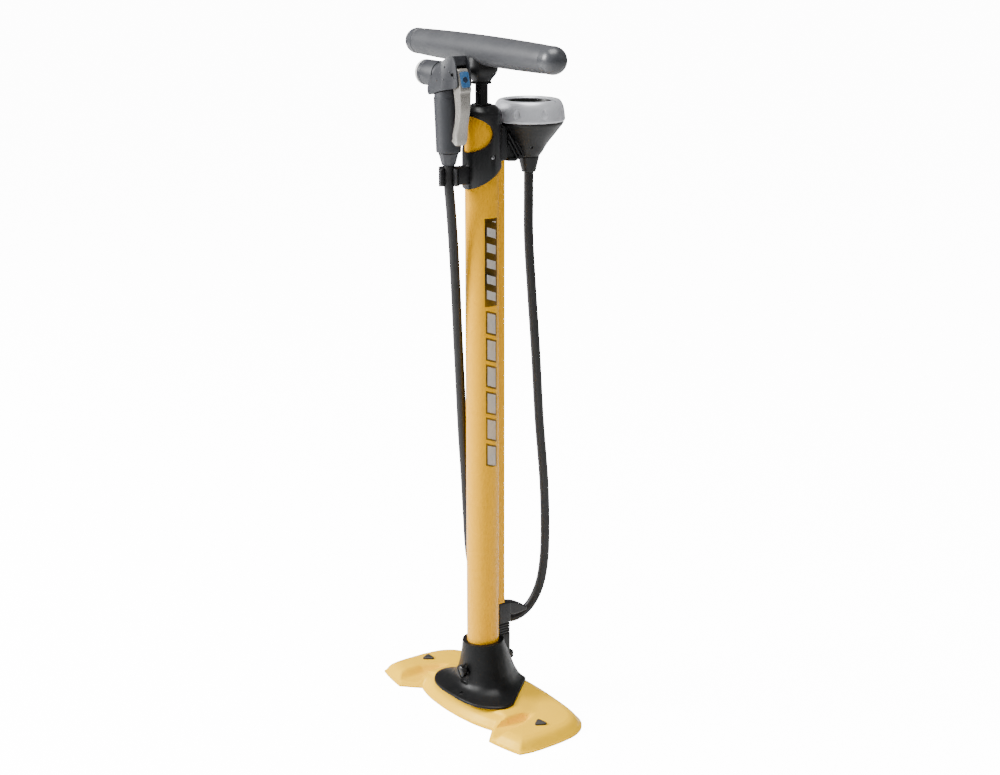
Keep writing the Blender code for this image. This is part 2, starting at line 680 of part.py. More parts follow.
def make_hose_clip():
    """Spring clip on the cap's front that holds the hose just below the pump head."""
    steps = 20
    outer = []
    inner = []
    for i in range(steps + 1):
        angle = CLIP_HEADING + CLIP_MOUTH + (2.0 * math.pi - 2.0 * CLIP_MOUTH) * i / steps
        outer.append((CLIP_R * math.cos(angle), HEAD_Y + CLIP_R * math.sin(angle)))
        inner.append((CLIP_BORE * math.cos(angle), HEAD_Y + CLIP_BORE * math.sin(angle)))
    clip = piece("hose_clip", prism(outer + list(reversed(inner)), CLIP_BOTTOM, CLIP_TOP), "black")
    root = HEAD_Y + CLIP_BORE + 0.0015
    join(clip, box((-0.0060, root, CLIP_BOTTOM), (0.0060, -(CAP_R - 0.0060), CLIP_TOP)))
    cut(clip, rod_shape(CAP_R + GAP, 0.4, 0.7))


def gauge_cone(margin=0.0):
    """Outer profile of the gauge housing, from its stem seam up to its rim."""
    return [(STEM_R + margin, STEM_TOP + GAP), (STEM_R + 0.0022 + margin, STEM_TOP + 0.0030),
            (0.0170 + margin, STEM_TOP + 0.0110), (0.0250 + margin, STEM_TOP + 0.0215),
            (GAUGE_R - 0.0005 + margin, GAUGE_SEAT - 0.0022), (GAUGE_R + margin, GAUGE_SEAT)]


def cone_clearance():
    """The gauge housing's room, a gap larger than the housing itself."""
    cone = [(STEM_R + GAP, STEM_TOP - 0.01)] + gauge_cone(GAP) + [(GAUGE_R + GAP, 0.62)]
    return moved(turned(cone, ROUND, closed=False), (0.0, GAUGE_Y, 0.0))


def make_gauge_arm():
    """Finned arm that carries the gauge and its air passage behind the cap."""
    start = RIB_FACE + GAP + 0.0016 + GAP
    arm = piece("gauge_arm", loft([
        [(-0.0066, start, 0.5462), (0.0066, start, 0.5462), (0.0066, start, 0.5765),
         (-0.0066, start, 0.5765)],
        [(-0.0058, 0.0560, 0.5520), (0.0058, 0.0560, 0.5520), (0.0058, 0.0560, 0.5765),
         (-0.0058, 0.0560, 0.5765)]]), "black")
    cut(arm, cone_clearance())
    cut(arm, along_y(rod_shape(AIR_R, 0.0, 0.060, 12), (0.0, 0.0, RIB_TOP + 0.0040)))
    slant = Matrix.Rotation(math.radians(35.0), 4, "X")
    for step in range(3):
        for low, high in ((0.0050, 0.012), (-0.012, -0.0050)):
            fin_gap = box((low, -0.0007, -0.006), (high, 0.0007, 0.006))
            cut(arm, moved(fin_gap, (0.0, start + 0.0035 + 0.0034 * step, 0.5600), slant))


# ---------------------------------------------------------------- gauge
def make_gauge():
    axis = (0.0, GAUGE_Y, 0.0)
    stem = [(HOSE_BARB_R + GAP, STEM_BOTTOM), (0.0062, STEM_BOTTOM), (0.0068, STEM_BOTTOM + 0.0010),
            (STEM_R - 0.0004, STEM_TOP - 0.0012), (STEM_R, STEM_TOP - 0.0006), (STEM_R, STEM_TOP),
            (HOSE_BARB_R + GAP, STEM_TOP)]
    piece("gauge_stem", moved(turned(stem), axis), "charcoal")
    cavity = [(0.0, CAVITY_FLOOR), (0.0125, CAVITY_FLOOR), (0.0205, CAVITY_FLOOR + 0.0080),
              (DIAL_R + GAP, GAUGE_SEAT - 0.0010), (DIAL_R + GAP, SPIGOT_TOP)]
    shell = gauge_cone() + [(SPIGOT_R, GAUGE_SEAT), (SPIGOT_R, SPIGOT_TOP)] + list(reversed(cavity))
    housing = piece("gauge_housing", moved(
        turned([(0.0, STEM_TOP + GAP)] + shell, ROUND, closed=False), axis), "charcoal")
    cut(housing, moved(rod_shape(HOSE_BARB_R + GAP, 0.5, STEM_TOP + 0.0060, 16), axis))
    cut(housing, moved(rod_shape(AIR_R, 0.5, CAVITY_FLOOR + 0.01, 12), axis))
    cut(housing, along_y(rod_shape(AIR_R, 0.020, GAUGE_Y, 12), (0.0, 0.0, RIB_TOP + 0.0040)))
    turn = Matrix.Rotation(SET_SCREW_ANGLE, 4, "Z")
    bore = along_x(rod_shape(SET_SCREW_R + GAP, 0.0080, 0.030, 12), (0.0, 0.0, SET_SCREW_Z))
    cut(housing, moved(bore, axis, turn))
    screw = along_x(rod_shape(SET_SCREW_R, 0.0085, 0.0135, 12), (0.0, 0.0, SET_SCREW_Z))
    piece("gauge_set_screw", moved(screw, axis, turn), "steel")
    barb = [(0.0012, STEM_BOTTOM + 0.0010), (HOSE_BARB_R, STEM_BOTTOM + 0.0010),
            (HOSE_BARB_R, STEM_TOP + 0.0055), (0.0012, STEM_TOP + 0.0055)]
    piece("hose_barb", moved(turned(barb, 16), axis), "brass")
    make_bezel(axis)
    make_movement(axis)


def make_bezel(axis):
    """Turnable silver ring with teardrop finger grips, the lens and its dark inner ring."""
    turner = carrier_at("bezel_axis", axis)
    lens_top = SPIGOT_TOP + GAP + LENS_T
    inner = SPIGOT_R + RUN
    profile = [(inner, GAUGE_SEAT + GAP), (BEZEL_R - 0.0008, GAUGE_SEAT + GAP),
               (BEZEL_R, GAUGE_SEAT + 0.0020), (BEZEL_R, GAUGE_SEAT + 0.0040),
               (BEZEL_R - 0.0012, GAUGE_SEAT + 0.0110), (0.0312, BEZEL_TOP - 0.0045),
               (0.0298, BEZEL_TOP - 0.0025), (0.0265, BEZEL_TOP - 0.0008),
               (BEZEL_OPENING_R, BEZEL_TOP), (BEZEL_OPENING_R, lens_top + GAP),
               (inner, lens_top + GAP)]
    bezel = piece("gauge_bezel", moved(turned(profile, 48), axis), "silver", turner)
    grips = 10
    for i in range(grips):
        angle = 2.0 * math.pi * i / grips + math.radians(-57.0)
        drop = turned([(0.0008, -0.0045), (0.0026, -0.0028), (0.0030, -0.0010), (0.0018, 0.0040),
                       (0.0003, 0.0075)], 8, closed=False)
        where = (axis[0] + (BEZEL_R + 0.0012) * math.cos(angle),
                 axis[1] + (BEZEL_R + 0.0012) * math.sin(angle), GAUGE_SEAT + 0.0090)
        cut(bezel, moved(drop, where), turner)
    ring_r = BEZEL_OPENING_R - GAP
    ring = [(ring_r - 0.0015, lens_top + GAP), (ring_r, lens_top + GAP), (ring_r, BEZEL_TOP - 0.0020),
            (ring_r - 0.0015, BEZEL_TOP - 0.0030)]
    piece("bezel_inner_ring", moved(turned(ring), axis), "charcoal", turner)
    lens = [(0.0, SPIGOT_TOP + GAP), (SPIGOT_R - GAP, SPIGOT_TOP + GAP), (SPIGOT_R - GAP, lens_top),
            (0.0, lens_top)]
    piece("gauge_lens", moved(turned(lens, ROUND, closed=False), axis), "lens")


def make_movement(axis):
    """Dial, needle with its pinion, sector gear, plate and Bourdon tube."""
    shaft = 0.0008
    piece("gauge_dial", moved(tube_shape(DIAL_R, shaft + RUN, DIAL_Z, DIAL_Z + 0.0008), axis), "white")
    gear_z = DIAL_Z - 0.0080
    plate_z = gear_z - 0.0030
    needle_turner = carrier_at("needle_axis", axis)
    profile = [(0.0, plate_z + 0.0004), (shaft, plate_z + 0.0004), (shaft, gear_z),
               (PINION_R - GAP / 2, gear_z), (PINION_R - GAP / 2, gear_z + 0.0014),
               (shaft, gear_z + 0.0014), (shaft, DIAL_Z + 0.0016), (0.0028, DIAL_Z + 0.0016),
               (0.0028, DIAL_Z + 0.0030), (0.0, DIAL_Z + 0.0030)]
    needle = piece("gauge_needle", moved(turned(profile, SMALL_ROUND, closed=False), axis),
                   "black", needle_turner)
    aim = Matrix.Rotation(math.radians(-135.0), 4, "Z")
    pointer = prism([(-0.0070, -0.0010), (0.0010, -0.0011), (0.0215, -0.0002), (0.0215, 0.0002),
                     (0.0010, 0.0011), (-0.0070, 0.0010)], DIAL_Z + 0.0019, DIAL_Z + 0.0027)
    join(needle, moved(pointer, axis, aim), needle_turner)

    sector_r = PINION_R * GEAR_RATIO
    reach = PINION_R + sector_r
    sector_axis = (reach, GAUGE_Y, 0.0)
    sector_turner = carrier_at("sector_axis", sector_axis)
    steps = 12
    start = math.radians(180.0) - SECTOR_SWING - math.radians(5.0)
    sweep = SECTOR_SWING + math.radians(10.0)
    outline = [(0.0022 * math.cos(a), 0.0022 * math.sin(a))
               for a in (math.radians(d) for d in (-60, -20, 20, 60))]
    outline += [((sector_r - GAP) * math.cos(start + sweep * i / steps),
                 (sector_r - GAP) * math.sin(start + sweep * i / steps)) for i in range(steps + 1)]
    sector = piece("sector_gear", moved(prism(outline, gear_z, gear_z + 0.0010), sector_axis),
                   "brass", sector_turner)
    cut(sector, moved(rod_shape(0.0009 + RUN, gear_z - 0.01, gear_z + 0.01, 12), sector_axis),
        sector_turner)

    plate = [(0.0, plate_z - 0.0012), (0.0130, plate_z - 0.0012), (0.0130, plate_z), (0.0, plate_z)]
    frame = piece("movement_plate", moved(turned(plate, SMALL_ROUND, closed=False), axis), "brass")
    join(frame, moved(rod_shape(0.0009, plate_z - 0.0008, gear_z + 0.0030, 12), sector_axis))
    join(frame, moved(box((-0.0035, -0.0035, CAVITY_FLOOR + GAP), (0.0035, 0.0035, plate_z - 0.0006)),
                      axis))
    cut(frame, moved(rod_shape(AIR_R, 0.5, plate_z - 0.0040, 12), axis))

    tube_r = 0.0172
    rings = []
    for i in range(25):
        angle = math.radians(100.0 + 250.0 * i / 24)
        quad = ((tube_r - 0.0008, -0.0018), (tube_r + 0.0008, -0.0018), (tube_r + 0.0008, 0.0018),
                (tube_r - 0.0008, 0.0018))
        rings.append([(r * math.cos(angle), GAUGE_Y + r * math.sin(angle), plate_z + 0.0024 + z)
                      for r, z in quad])
    piece("bourdon_tube", loft(rings), "brass")


# ---------------------------------------------------------------- handle, rod and piston
def make_rod():
    slide = carrier_at("rod_axis", (0.0, 0.0, PISTON_Z))
    top = PISTON_Z + PISTON_H
    groove = PISTON_Z + (PISTON_H - SEAL_H) / 2.0
    neck = PISTON_R - 0.0028
    bolt_r = 0.0030
    profile = [(bolt_r + GAP, PISTON_Z), (PISTON_R - 0.0006, PISTON_Z), (PISTON_R, PISTON_Z + 0.0006),
               (PISTON_R, groove), (neck, groove), (neck, groove + SEAL_H), (PISTON_R, groove + SEAL_H),
               (PISTON_R, top), (bolt_r + GAP, top)]
    piece("piston", turned(profile), "black", slide)
    seal = [(neck + GAP, groove + GAP), (PISTON_R + 0.0001, groove + GAP),
            (PISTON_R + 0.0001, groove + SEAL_H - GAP), (neck + GAP, groove + SEAL_H - GAP)]
    piece("piston_seal", turned(seal), "rubber", slide)
    bolt = [(0.0, PISTON_Z - 0.0028), (0.0050, PISTON_Z - 0.0028), (0.0050, PISTON_Z - GAP),
            (bolt_r, PISTON_Z - GAP), (bolt_r, top + 0.0100), (0.0, top + 0.0100)]
    piece("piston_bolt", turned(bolt, SMALL_ROUND, closed=False), "steel", slide)

    spin = carrier_at("handle_axis", (0.0, 0.0, HANDLE_Z))
    piece("rod", tube_shape(ROD_R, ROD_BORE, top + GAP, ROD_TOP, 32), "black", spin)
    bumper = [(ROD_R + GAP, top + 2 * GAP), (PISTON_R - 0.0030, top + 2 * GAP),
              (PISTON_R - 0.0022, top + BUMPER_H / 2), (PISTON_R - 0.0030, top + BUMPER_H),
              (ROD_R + GAP, top + BUMPER_H)]
    piece("top_out_bumper", turned(bumper), "rubber", spin)
    return spin


def grip_radius(x):
    """The grip is fullest at its middle and slimmer at both ends."""
    share = min(abs(x) / GRIP_HALF, 1.0)
    return GRIP_END_R + (GRIP_MID_R - GRIP_END_R) * (1.0 - share ** 2)


def grip_shape(margin=0.0):
    steps = 14
    profile = [(0.0, -GRIP_HALF - margin)]
    for i in range(steps + 1):
        x = -GRIP_HALF + 2.0 * GRIP_HALF * i / steps
        profile.append((grip_radius(x) + margin, x + math.copysign(margin, x)))
    profile.append((0.0, GRIP_HALF + margin))
    bm = along_x(turned(profile, 32, closed=False), (0.0, 0.0, HANDLE_Z))
    bm.transform(Matrix.Rotation(HANDLE_TURN, 4, "Z"))
    return bm


def make_handle(spin):
    grip = piece("handle_grip", grip_shape(), "grip", spin)
    cut(grip, rod_shape(ROD_R + GAP, 0.5, ROD_TOP + GAP, 32), spin)
    for side, name in ((1.0, "end_cap_right"), (-1.0, "end_cap_left")):
        start = GRIP_HALF + GAP
        straight = END_CAP_LENGTH - GRIP_END_R
        profile = [(0.0, start), (GRIP_END_R - 0.0004, start), (GRIP_END_R, start + 0.0004),
                   (GRIP_END_R, start + straight)]
        for i in range(1, 7):
            angle = math.radians(90.0) * i / 6
            profile.append((GRIP_END_R * math.cos(angle), start + straight + GRIP_END_R * math.sin(angle)))
        bm = along_x(turned(profile, 32, closed=False), (0.0, 0.0, HANDLE_Z))
        heading = HANDLE_TURN + (0.0 if side > 0.0 else math.pi)
        bm.transform(Matrix.Rotation(heading, 4, "Z"))
        piece(name, bm, "charcoal", spin)
    bore = ROD_R + GAP
    funnel = [(bore, HUB_BOTTOM), (0.0090, HUB_BOTTOM), (0.0092, HUB_BOTTOM + 0.0018),
              (0.0087, HUB_BOTTOM + 0.0026), (0.0108, HUB_BOTTOM + 0.0045),
              (0.0140, HUB_BOTTOM + 0.0085), (0.0154, HUB_BOTTOM + 0.0125),
              (0.0154, HANDLE_Z - 0.0060), (bore, HANDLE_Z - 0.0060)]
    hub = piece("handle_hub", turned(funnel), "charcoal", spin)
    cut(hub, grip_shape(GAP), spin)
    bush = [(BUSH_BORE, BARREL_TOP + 2 * GAP), (BUSH_R, BARREL_TOP + 2 * GAP), (BUSH_R, CAP_CROWN + GAP),
            (BUSH_R + 0.0009, CAP_CROWN + GAP), (BUSH_R + 0.0004, CAP_CROWN + 0.0014),
            (BUSH_BORE, CAP_CROWN + 0.0014)]
    piece("rod_bush", turned(bush), "charcoal")


# ---------------------------------------------------------------- pump head
HOUSING_OUTLINE = (
    (-0.0127, -0.0184), (0.0020, -0.0140), (0.0180, -0.0105), (0.0262, -0.0085),
    (0.0225, 0.0130), (0.0190, 0.0188), (0.0150, 0.0178), (0.0115, 0.0153), (0.0040, 0.0105),
    (-0.0031, 0.0045), (-0.0095, -0.0028), (-0.0145, -0.0120),
)
LEVER_FRONT = (
    (0.0195, 0.0072), (0.0232, 0.0062), (0.0258, 0.0010), (0.0276, -0.0060), (0.0282, -0.0110),
    (0.0282, -0.0210), (0.0276, -0.0300), (0.0250, -0.0410), (0.0228, -0.0505),
    (0.0218, -0.0580), (0.0184, -0.0622),
)
LEVER_BACK = (
    (0.0150, -0.0600), (0.0146, -0.0510), (0.0176, -0.0390), (0.0184, -0.0290),
    (0.0172, -0.0170), (0.0152, -0.0070), (0.0148, 0.0010), (0.0160, 0.0060),
)


def housing_shape():
    """The fan-shaped housing; two slanted planes close its sides in on the lever towards +X."""
    outline = [(x, NOZZLE_Z + level) for x, level in HOUSING_OUTLINE]
    bm = side_prism(outline, HEAD_Y, CHEEK_Y)
    narrow = LEVER_HALF + RUN + CHEEK_T
    for x in (CHEEK_TAPER_X, BRIDGE_X):
        bmesh.ops.bisect_plane(bm, geom=list(bm.verts) + list(bm.edges) + list(bm.faces),
                               plane_co=(x, 0.0, 0.0), plane_no=(1.0, 0.0, 0.0), dist=1e-6)
    for vert in bm.verts:
        share = min(max((vert.co.x - CHEEK_TAPER_X) / (BRIDGE_X - CHEEK_TAPER_X), 0.0), 1.0)
        half = CHEEK_Y + (narrow - CHEEK_Y) * share
        vert.co.y = HEAD_Y + math.copysign(half, vert.co.y - HEAD_Y)
    return bm


def collar_wedge():
    """The slanted top of the head's grip, which follows the housing's lower edge."""
    radius = HEAD_GRIP_R - 0.0007
    angles = [2.0 * math.pi * (i + 0.5) / ROUND for i in range(ROUND)]
    start_x, start_level = HOUSING_OUTLINE[0]
    end_x, end_level = HOUSING_OUTLINE[2]
    slope = (end_level - start_level) / (end_x - start_x)
    lower = []
    upper = []
    for angle in angles:
        x, y = radius * math.cos(angle), radius * math.sin(angle)
        level = start_level + (x - start_x) * slope - 1.5 * GAP
        lower.append((x, y, HEAD_GRIP_TOP - 0.0030))
        upper.append((x, y, NOZZLE_Z + level))
    return loft([lower, upper])


def make_pump_head():
    axis = (0.0, HEAD_Y, 0.0)
    relief = [(HOSE_BARB_R + GAP, RELIEF_BOTTOM), (RELIEF_BOTTOM_R, RELIEF_BOTTOM),
              (RELIEF_TOP_R, HEAD_GRIP_BOTTOM - GAP), (HOSE_BARB_R + GAP, HEAD_GRIP_BOTTOM - GAP)]
    piece("strain_relief", moved(turned(relief, 8), axis), "head", None, 20.0)
    barb = [(0.0012, RELIEF_BOTTOM + 0.0010), (HOSE_BARB_R, RELIEF_BOTTOM + 0.0010),
            (HOSE_BARB_R, HEAD_GRIP_BOTTOM + 0.0080), (0.0012, HEAD_GRIP_BOTTOM + 0.0080)]
    piece("head_barb", moved(turned(barb, 16), axis), "brass")

    neck_r = NOZZLE_R - 0.0008
    profile = [(0.0, HEAD_GRIP_BOTTOM), (HEAD_TAPER_R - 0.0010, HEAD_GRIP_BOTTOM),
               (HEAD_TAPER_R, HEAD_GRIP_BOTTOM + 0.0012), (HEAD_GRIP_R, HEAD_GRIP_TOP - 0.0015),
               (HEAD_GRIP_R - 0.0012, HEAD_GRIP_TOP), (neck_r - 0.0015, HEAD_GRIP_TOP),
               (neck_r - 0.0015, NOZZLE_Z), (0.0, NOZZLE_Z)]
    body = piece("head_body", moved(turned(profile, 32, closed=False), axis), "head")
    join(body, moved(collar_wedge(), axis))
    join(body, along_x(rod_shape(neck_r, COLLAR_ROOT, 0.0098, 32), (0.0, HEAD_Y, NOZZLE_Z)))
    cut(body, along_x(rod_shape(PLUNGER_R + RUN, -0.02, 0.02, SMALL_ROUND), (0.0, HEAD_Y, NOZZLE_Z)))
    cut(body, moved(rod_shape(HOSE_BARB_R + GAP, 0.5, HEAD_GRIP_BOTTOM + 0.0083, 16), axis))
    cut(body, moved(rod_shape(AIR_R, 0.5, NOZZLE_Z, 12), axis))

    cheeks = piece("head_housing", housing_shape(), "head")
    wall = 0.0102
    cut(cheeks, along_x(rod_shape(NOZZLE_R + GAP, -0.05, wall, 32), (0.0, HEAD_Y, NOZZLE_Z)))
    cut(cheeks, moved(rod_shape(neck_r - 0.0015 + GAP, 0.58, NOZZLE_Z, 32), axis))
    slot = [(wall + 0.0020, HEAD_GRIP_TOP - 0.02), (0.05, HEAD_GRIP_TOP - 0.02), (0.05, HANDLE_Z),
            (BRIDGE_X, HANDLE_Z), (BRIDGE_X, BRIDGE_Z), (wall + 0.0020, BRIDGE_Z)]
    cut(cheeks, side_prism(slot, HEAD_Y, LEVER_HALF + RUN))
    cut(cheeks, along_x(rod_shape(PLUNGER_R + RUN, 0.0, 0.02, SMALL_ROUND), (0.0, HEAD_Y, NOZZLE_Z)))
    pin_half = LEVER_HALF + RUN + CHEEK_T
    cut(cheeks, along_y(rod_shape(LEVER_PIN_R + GAP, -0.05, 0.05, 16), (LEVER_X, HEAD_Y, LEVER_Z)))
    piece("lever_pin", along_y(rod_shape(LEVER_PIN_R, -pin_half, pin_half, 16),
                               (LEVER_X, HEAD_Y, LEVER_Z)), "steel")
    make_nozzle()
    make_lever()


def make_nozzle():
    """Collar, end ring and rubber seal that grip a tyre valve, on -X."""
    centre = (0.0, HEAD_Y, NOZZLE_Z)
    root = COLLAR_ROOT - GAP
    collar = [(NOZZLE_BORE_R, NOZZLE_END), (NOZZLE_R - 0.0004, NOZZLE_END), (NOZZLE_R, NOZZLE_END + 0.0004),
              (NOZZLE_R, root), (NOZZLE_BORE_R, root)]
    piece("nozzle_collar", along_x(turned(collar, 32), centre), "grip")
    end = NOZZLE_END - NOZZLE_CAP_T
    hole = 0.0046
    ring = [(hole, end), (NOZZLE_R - 0.0016, end), (NOZZLE_R - 0.0002, end + 0.0014),
            (NOZZLE_R, NOZZLE_END - GAP), (hole, NOZZLE_END - GAP)]
    piece("nozzle_end_ring", along_x(turned(ring, 32), centre), "white")
    seal = [(SEAL_BORE_R, NOZZLE_END + 0.0005), (NOZZLE_BORE_R - GAP, NOZZLE_END + 0.0005),
            (NOZZLE_BORE_R - GAP, -0.0145), (SEAL_BORE_R, -0.0145)]
    piece("valve_seal", along_x(turned(seal, SMALL_ROUND), centre), "rubber")


def make_lever():
    """The lever that swings up, its inlay, and the plunger that it pushes."""
    hinge = carrier_at("lever_axis", (LEVER_X, HEAD_Y, LEVER_Z))
    outline = [(x, NOZZLE_Z + level) for x, level in LEVER_FRONT + LEVER_BACK]
    lever = piece("lever", side_prism(outline, HEAD_Y, LEVER_HALF), "silver", hinge)
    cut(lever, along_y(rod_shape(LEVER_PIN_R + RUN / 2, -0.05, 0.05, 16),
                       (LEVER_X, HEAD_Y, LEVER_Z)), hinge)
    faces = outline[2:4]
    inner = [(x + GAP, z) for x, z in faces]
    outer = [(x + GAP + 0.0008, z) for x, z in faces]
    piece("lever_inlay", side_prism(inner + list(reversed(outer)), HEAD_Y, LEVER_HALF - 0.0014),
          "blue", hinge)
    push = carrier_at("plunger_axis", (PLUNGER_END, HEAD_Y, NOZZLE_Z))
    piece("plunger", along_x(rod_shape(PLUNGER_R, -0.0120, PLUNGER_END, SMALL_ROUND),
                             (0.0, HEAD_Y, NOZZLE_Z)), "brass", push)


# ---------------------------------------------------------------- hose
def make_hose():
    curve = bpy.data.curves.new("hose", "CURVE")
    curve.dimensions = "3D"
    curve.bevel_depth = HOSE_R
    curve.bevel_resolution = 2
    curve.use_fill_caps = True
    points = smooth_line(HOSE_ROUTE, HOSE_POINTS)
    spline = curve.splines.new("POLY")
    spline.points.add(len(points) - 1)
    for target, point in zip(spline.points, points):
        target.co = (*point, 1.0)
    place("hose", curve, "rubber")


def main():
    clear_scene()
    make_plate()
    make_feet()
    make_boot()
    make_clamp_screw()
    make_barrel()
    make_barrel_plug()
    make_foot_fitting()
    make_cap()
    make_cap_screws()
    make_hose_clip()
    make_gauge_arm()
    make_gauge()
    make_handle(make_rod())
    make_pump_head()
    make_hose()


main()
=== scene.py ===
"""Looks of the floor pump: every visible piece, its finish, the stage and the camera."""

import json
import logging
import math
from dataclasses import dataclass, field
from enum import Enum
from typing import Callable, Iterable, Sequence

import bmesh
import bpy
import numpy as np
from mathutils import Matrix, Vector


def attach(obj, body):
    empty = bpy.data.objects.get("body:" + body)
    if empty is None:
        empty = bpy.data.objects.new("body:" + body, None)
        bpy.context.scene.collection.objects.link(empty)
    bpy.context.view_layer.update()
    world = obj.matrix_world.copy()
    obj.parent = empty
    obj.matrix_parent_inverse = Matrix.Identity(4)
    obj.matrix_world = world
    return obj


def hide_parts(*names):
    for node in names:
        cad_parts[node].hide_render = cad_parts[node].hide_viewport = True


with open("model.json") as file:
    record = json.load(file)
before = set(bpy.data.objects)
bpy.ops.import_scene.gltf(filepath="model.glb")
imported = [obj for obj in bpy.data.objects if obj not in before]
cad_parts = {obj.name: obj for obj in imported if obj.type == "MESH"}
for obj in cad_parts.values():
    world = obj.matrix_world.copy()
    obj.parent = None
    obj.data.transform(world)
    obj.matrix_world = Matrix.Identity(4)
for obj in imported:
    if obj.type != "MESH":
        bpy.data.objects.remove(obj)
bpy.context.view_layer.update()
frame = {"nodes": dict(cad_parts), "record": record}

Point2 = tuple[float, float]
Point3 = tuple[float, float, float]

log = logging.getLogger("floor_pump")
GAP = 0.0003
FULL_TURN = 2.0 * math.pi


class Axis(Enum):
    """The row axis that a round piece made on +Z is laid along."""

    X = "x"
    Y = "y"
    Z = "z"

    def turn(self) -> Matrix:
        """The rotation that lays +Z along this axis."""
        if self is Axis.X:
            return Matrix.Rotation(math.radians(90.0), 4, "Y")
        if self is Axis.Y:
            return Matrix.Rotation(math.radians(-90.0), 4, "X")
        return Matrix.Identity(4)


class Placement:
    """Looks up a CAD node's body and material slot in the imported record."""

    def __init__(self, record: dict) -> None:
        """Read the record's bodies and sub-parts.

        Args:
            record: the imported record.
        """
        groups = (record.get("behaviour") or {}).get("bodies") or {}
        self.body = {node: body for body, nodes in groups.items() for node in nodes}
        self.slot = {row["node"]: row["material_slot"] for row in record["subparts"]}


PLACEMENT = Placement(frame["record"])


# ------------------------------------------------------------------ mesh helpers
def eased(points: Sequence[Point2], radius: float, segments: int = 4,
          closed: bool = False) -> list[Point2]:
    """Round the corners of a profile.

    Args:
        points: the profile's corners.
        radius: how much of each side a corner may take.
        segments: steps in each rounded corner.
        closed: whether the last point joins the first.

    Returns:
        The rounded profile.
    """
    count = len(points)
    result: list[Point2] = []
    for i, here in enumerate(points):
        if not closed and i in (0, count - 1):
            result.append(here)
            continue
        at = Vector(here)
        before = Vector(points[i - 1])
        after = Vector(points[(i + 1) % count])
        first, last = before - at, after - at
        take = min(radius, first.length * 0.45, last.length * 0.45)
        start, end = at + first.normalized() * take, at + last.normalized() * take
        for step in range(segments + 1):
            t = step / segments
            result.append(tuple(start * (1 - t) ** 2 + at * 2 * t * (1 - t) + end * t * t))
    return result


def smooth_path(points: Sequence[Sequence[float]], per_span: int) -> list[Vector]:
    """Run a smooth curve through the points.

    Args:
        points: the points it goes through.
        per_span: steps between each two of them.

    Returns:
        Points on the curve, the first and last included.
    """
    line = [Vector(p) for p in points]
    padded = [2 * line[0] - line[1]] + line + [2 * line[-1] - line[-2]]
    found: list[Vector] = []
    for a, b, c, d in zip(padded, padded[1:], padded[2:], padded[3:]):
        for step in range(per_span):
            t = step / per_span
            found.append(0.5 * (2 * b + (c - a) * t + (2 * a - 5 * b + 4 * c - d) * t ** 2
                                + (3 * b - a - 3 * c + d) * t ** 3))
    found.append(line[-1])
    return found


def heal(bm: bmesh.types.BMesh, distance: float = 1e-6) -> bmesh.types.BMesh:
    """Merge doubles and point the faces outwards."""
    bmesh.ops.remove_doubles(bm, verts=bm.verts, dist=distance)
    bmesh.ops.dissolve_degenerate(bm, edges=bm.edges, dist=1e-7)
    bmesh.ops.recalc_face_normals(bm, faces=bm.faces)
    if bm.calc_volume(signed=True) < 0.0:
        bmesh.ops.reverse_faces(bm, faces=bm.faces)
    return bm


def spun(profile: Sequence[Point2], steps: int = 96, ring: bool = False) -> bmesh.types.BMesh:
    """Spin a profile round +Z.

    Args:
        profile: (radius, height) points; both ends lie on the axis unless it is a ring.
        steps: steps in the full turn.
        ring: whether the last point joins the first.

    Returns:
        The closed round shape.
    """
    bm = bmesh.new()
    verts = [bm.verts.new((radius, 0.0, z)) for radius, z in profile]
    edges = [bm.edges.new(pair) for pair in zip(verts, verts[1:])]
    if ring:
        edges.append(bm.edges.new((verts[-1], verts[0])))
    bmesh.ops.spin(bm, geom=verts + edges, cent=(0, 0, 0), axis=(0, 0, 1),
                   angle=FULL_TURN, steps=steps, use_merge=True)
    return heal(bm)


def bar(radius: float, low: float, high: float, steps: int = 48) -> bmesh.types.BMesh:
    """A plain round bar on +Z, used to cut holes."""
    bm = bmesh.new()
    bmesh.ops.create_cone(bm, cap_ends=True, segments=steps, radius1=radius, radius2=radius,
                          depth=high - low)
    bm.transform(Matrix.Translation((0, 0, (low + high) / 2)))
    return heal(bm)


def block(low: Point3, high: Point3) -> bmesh.types.BMesh:
    """A box between two corners."""
    bm = bmesh.new()
    bmesh.ops.create_cube(bm, size=1.0)
    size = Vector(high) - Vector(low)
    bm.transform(Matrix.Translation((Vector(low) + Vector(high)) / 2) @ Matrix.Diagonal((*size, 1)))
    return heal(bm)


def slab(outline: Sequence[Point2], low: float, high: float) -> bmesh.types.BMesh:
    """Extrude an (x, y) outline upwards.

    Args:
        outline: the outline's points in order.
        low: height of the lower face.
        high: height of the upper face.

    Returns:
        The closed slab.
    """
    bm = bmesh.new()
    face = bm.faces.new([bm.verts.new((x, y, low)) for x, y in outline])
    grown = bmesh.ops.extrude_face_region(bm, geom=[face])["geom"]
    top = [item for item in grown if isinstance(item, bmesh.types.BMVert)]
    bmesh.ops.translate(bm, verts=top, vec=(0, 0, high - low))
    return heal(bm)


def upright_slab(outline: Sequence[Point2], middle: float, half: float) -> bmesh.types.BMesh:
    """Extrude an (x, z) outline along Y, to both sides of the middle."""
    bm = slab(outline, -half, half)
    bm.transform(Matrix.Translation((0, middle, 0)) @ Matrix.Rotation(math.radians(90.0), 4, "X"))
    return heal(bm)


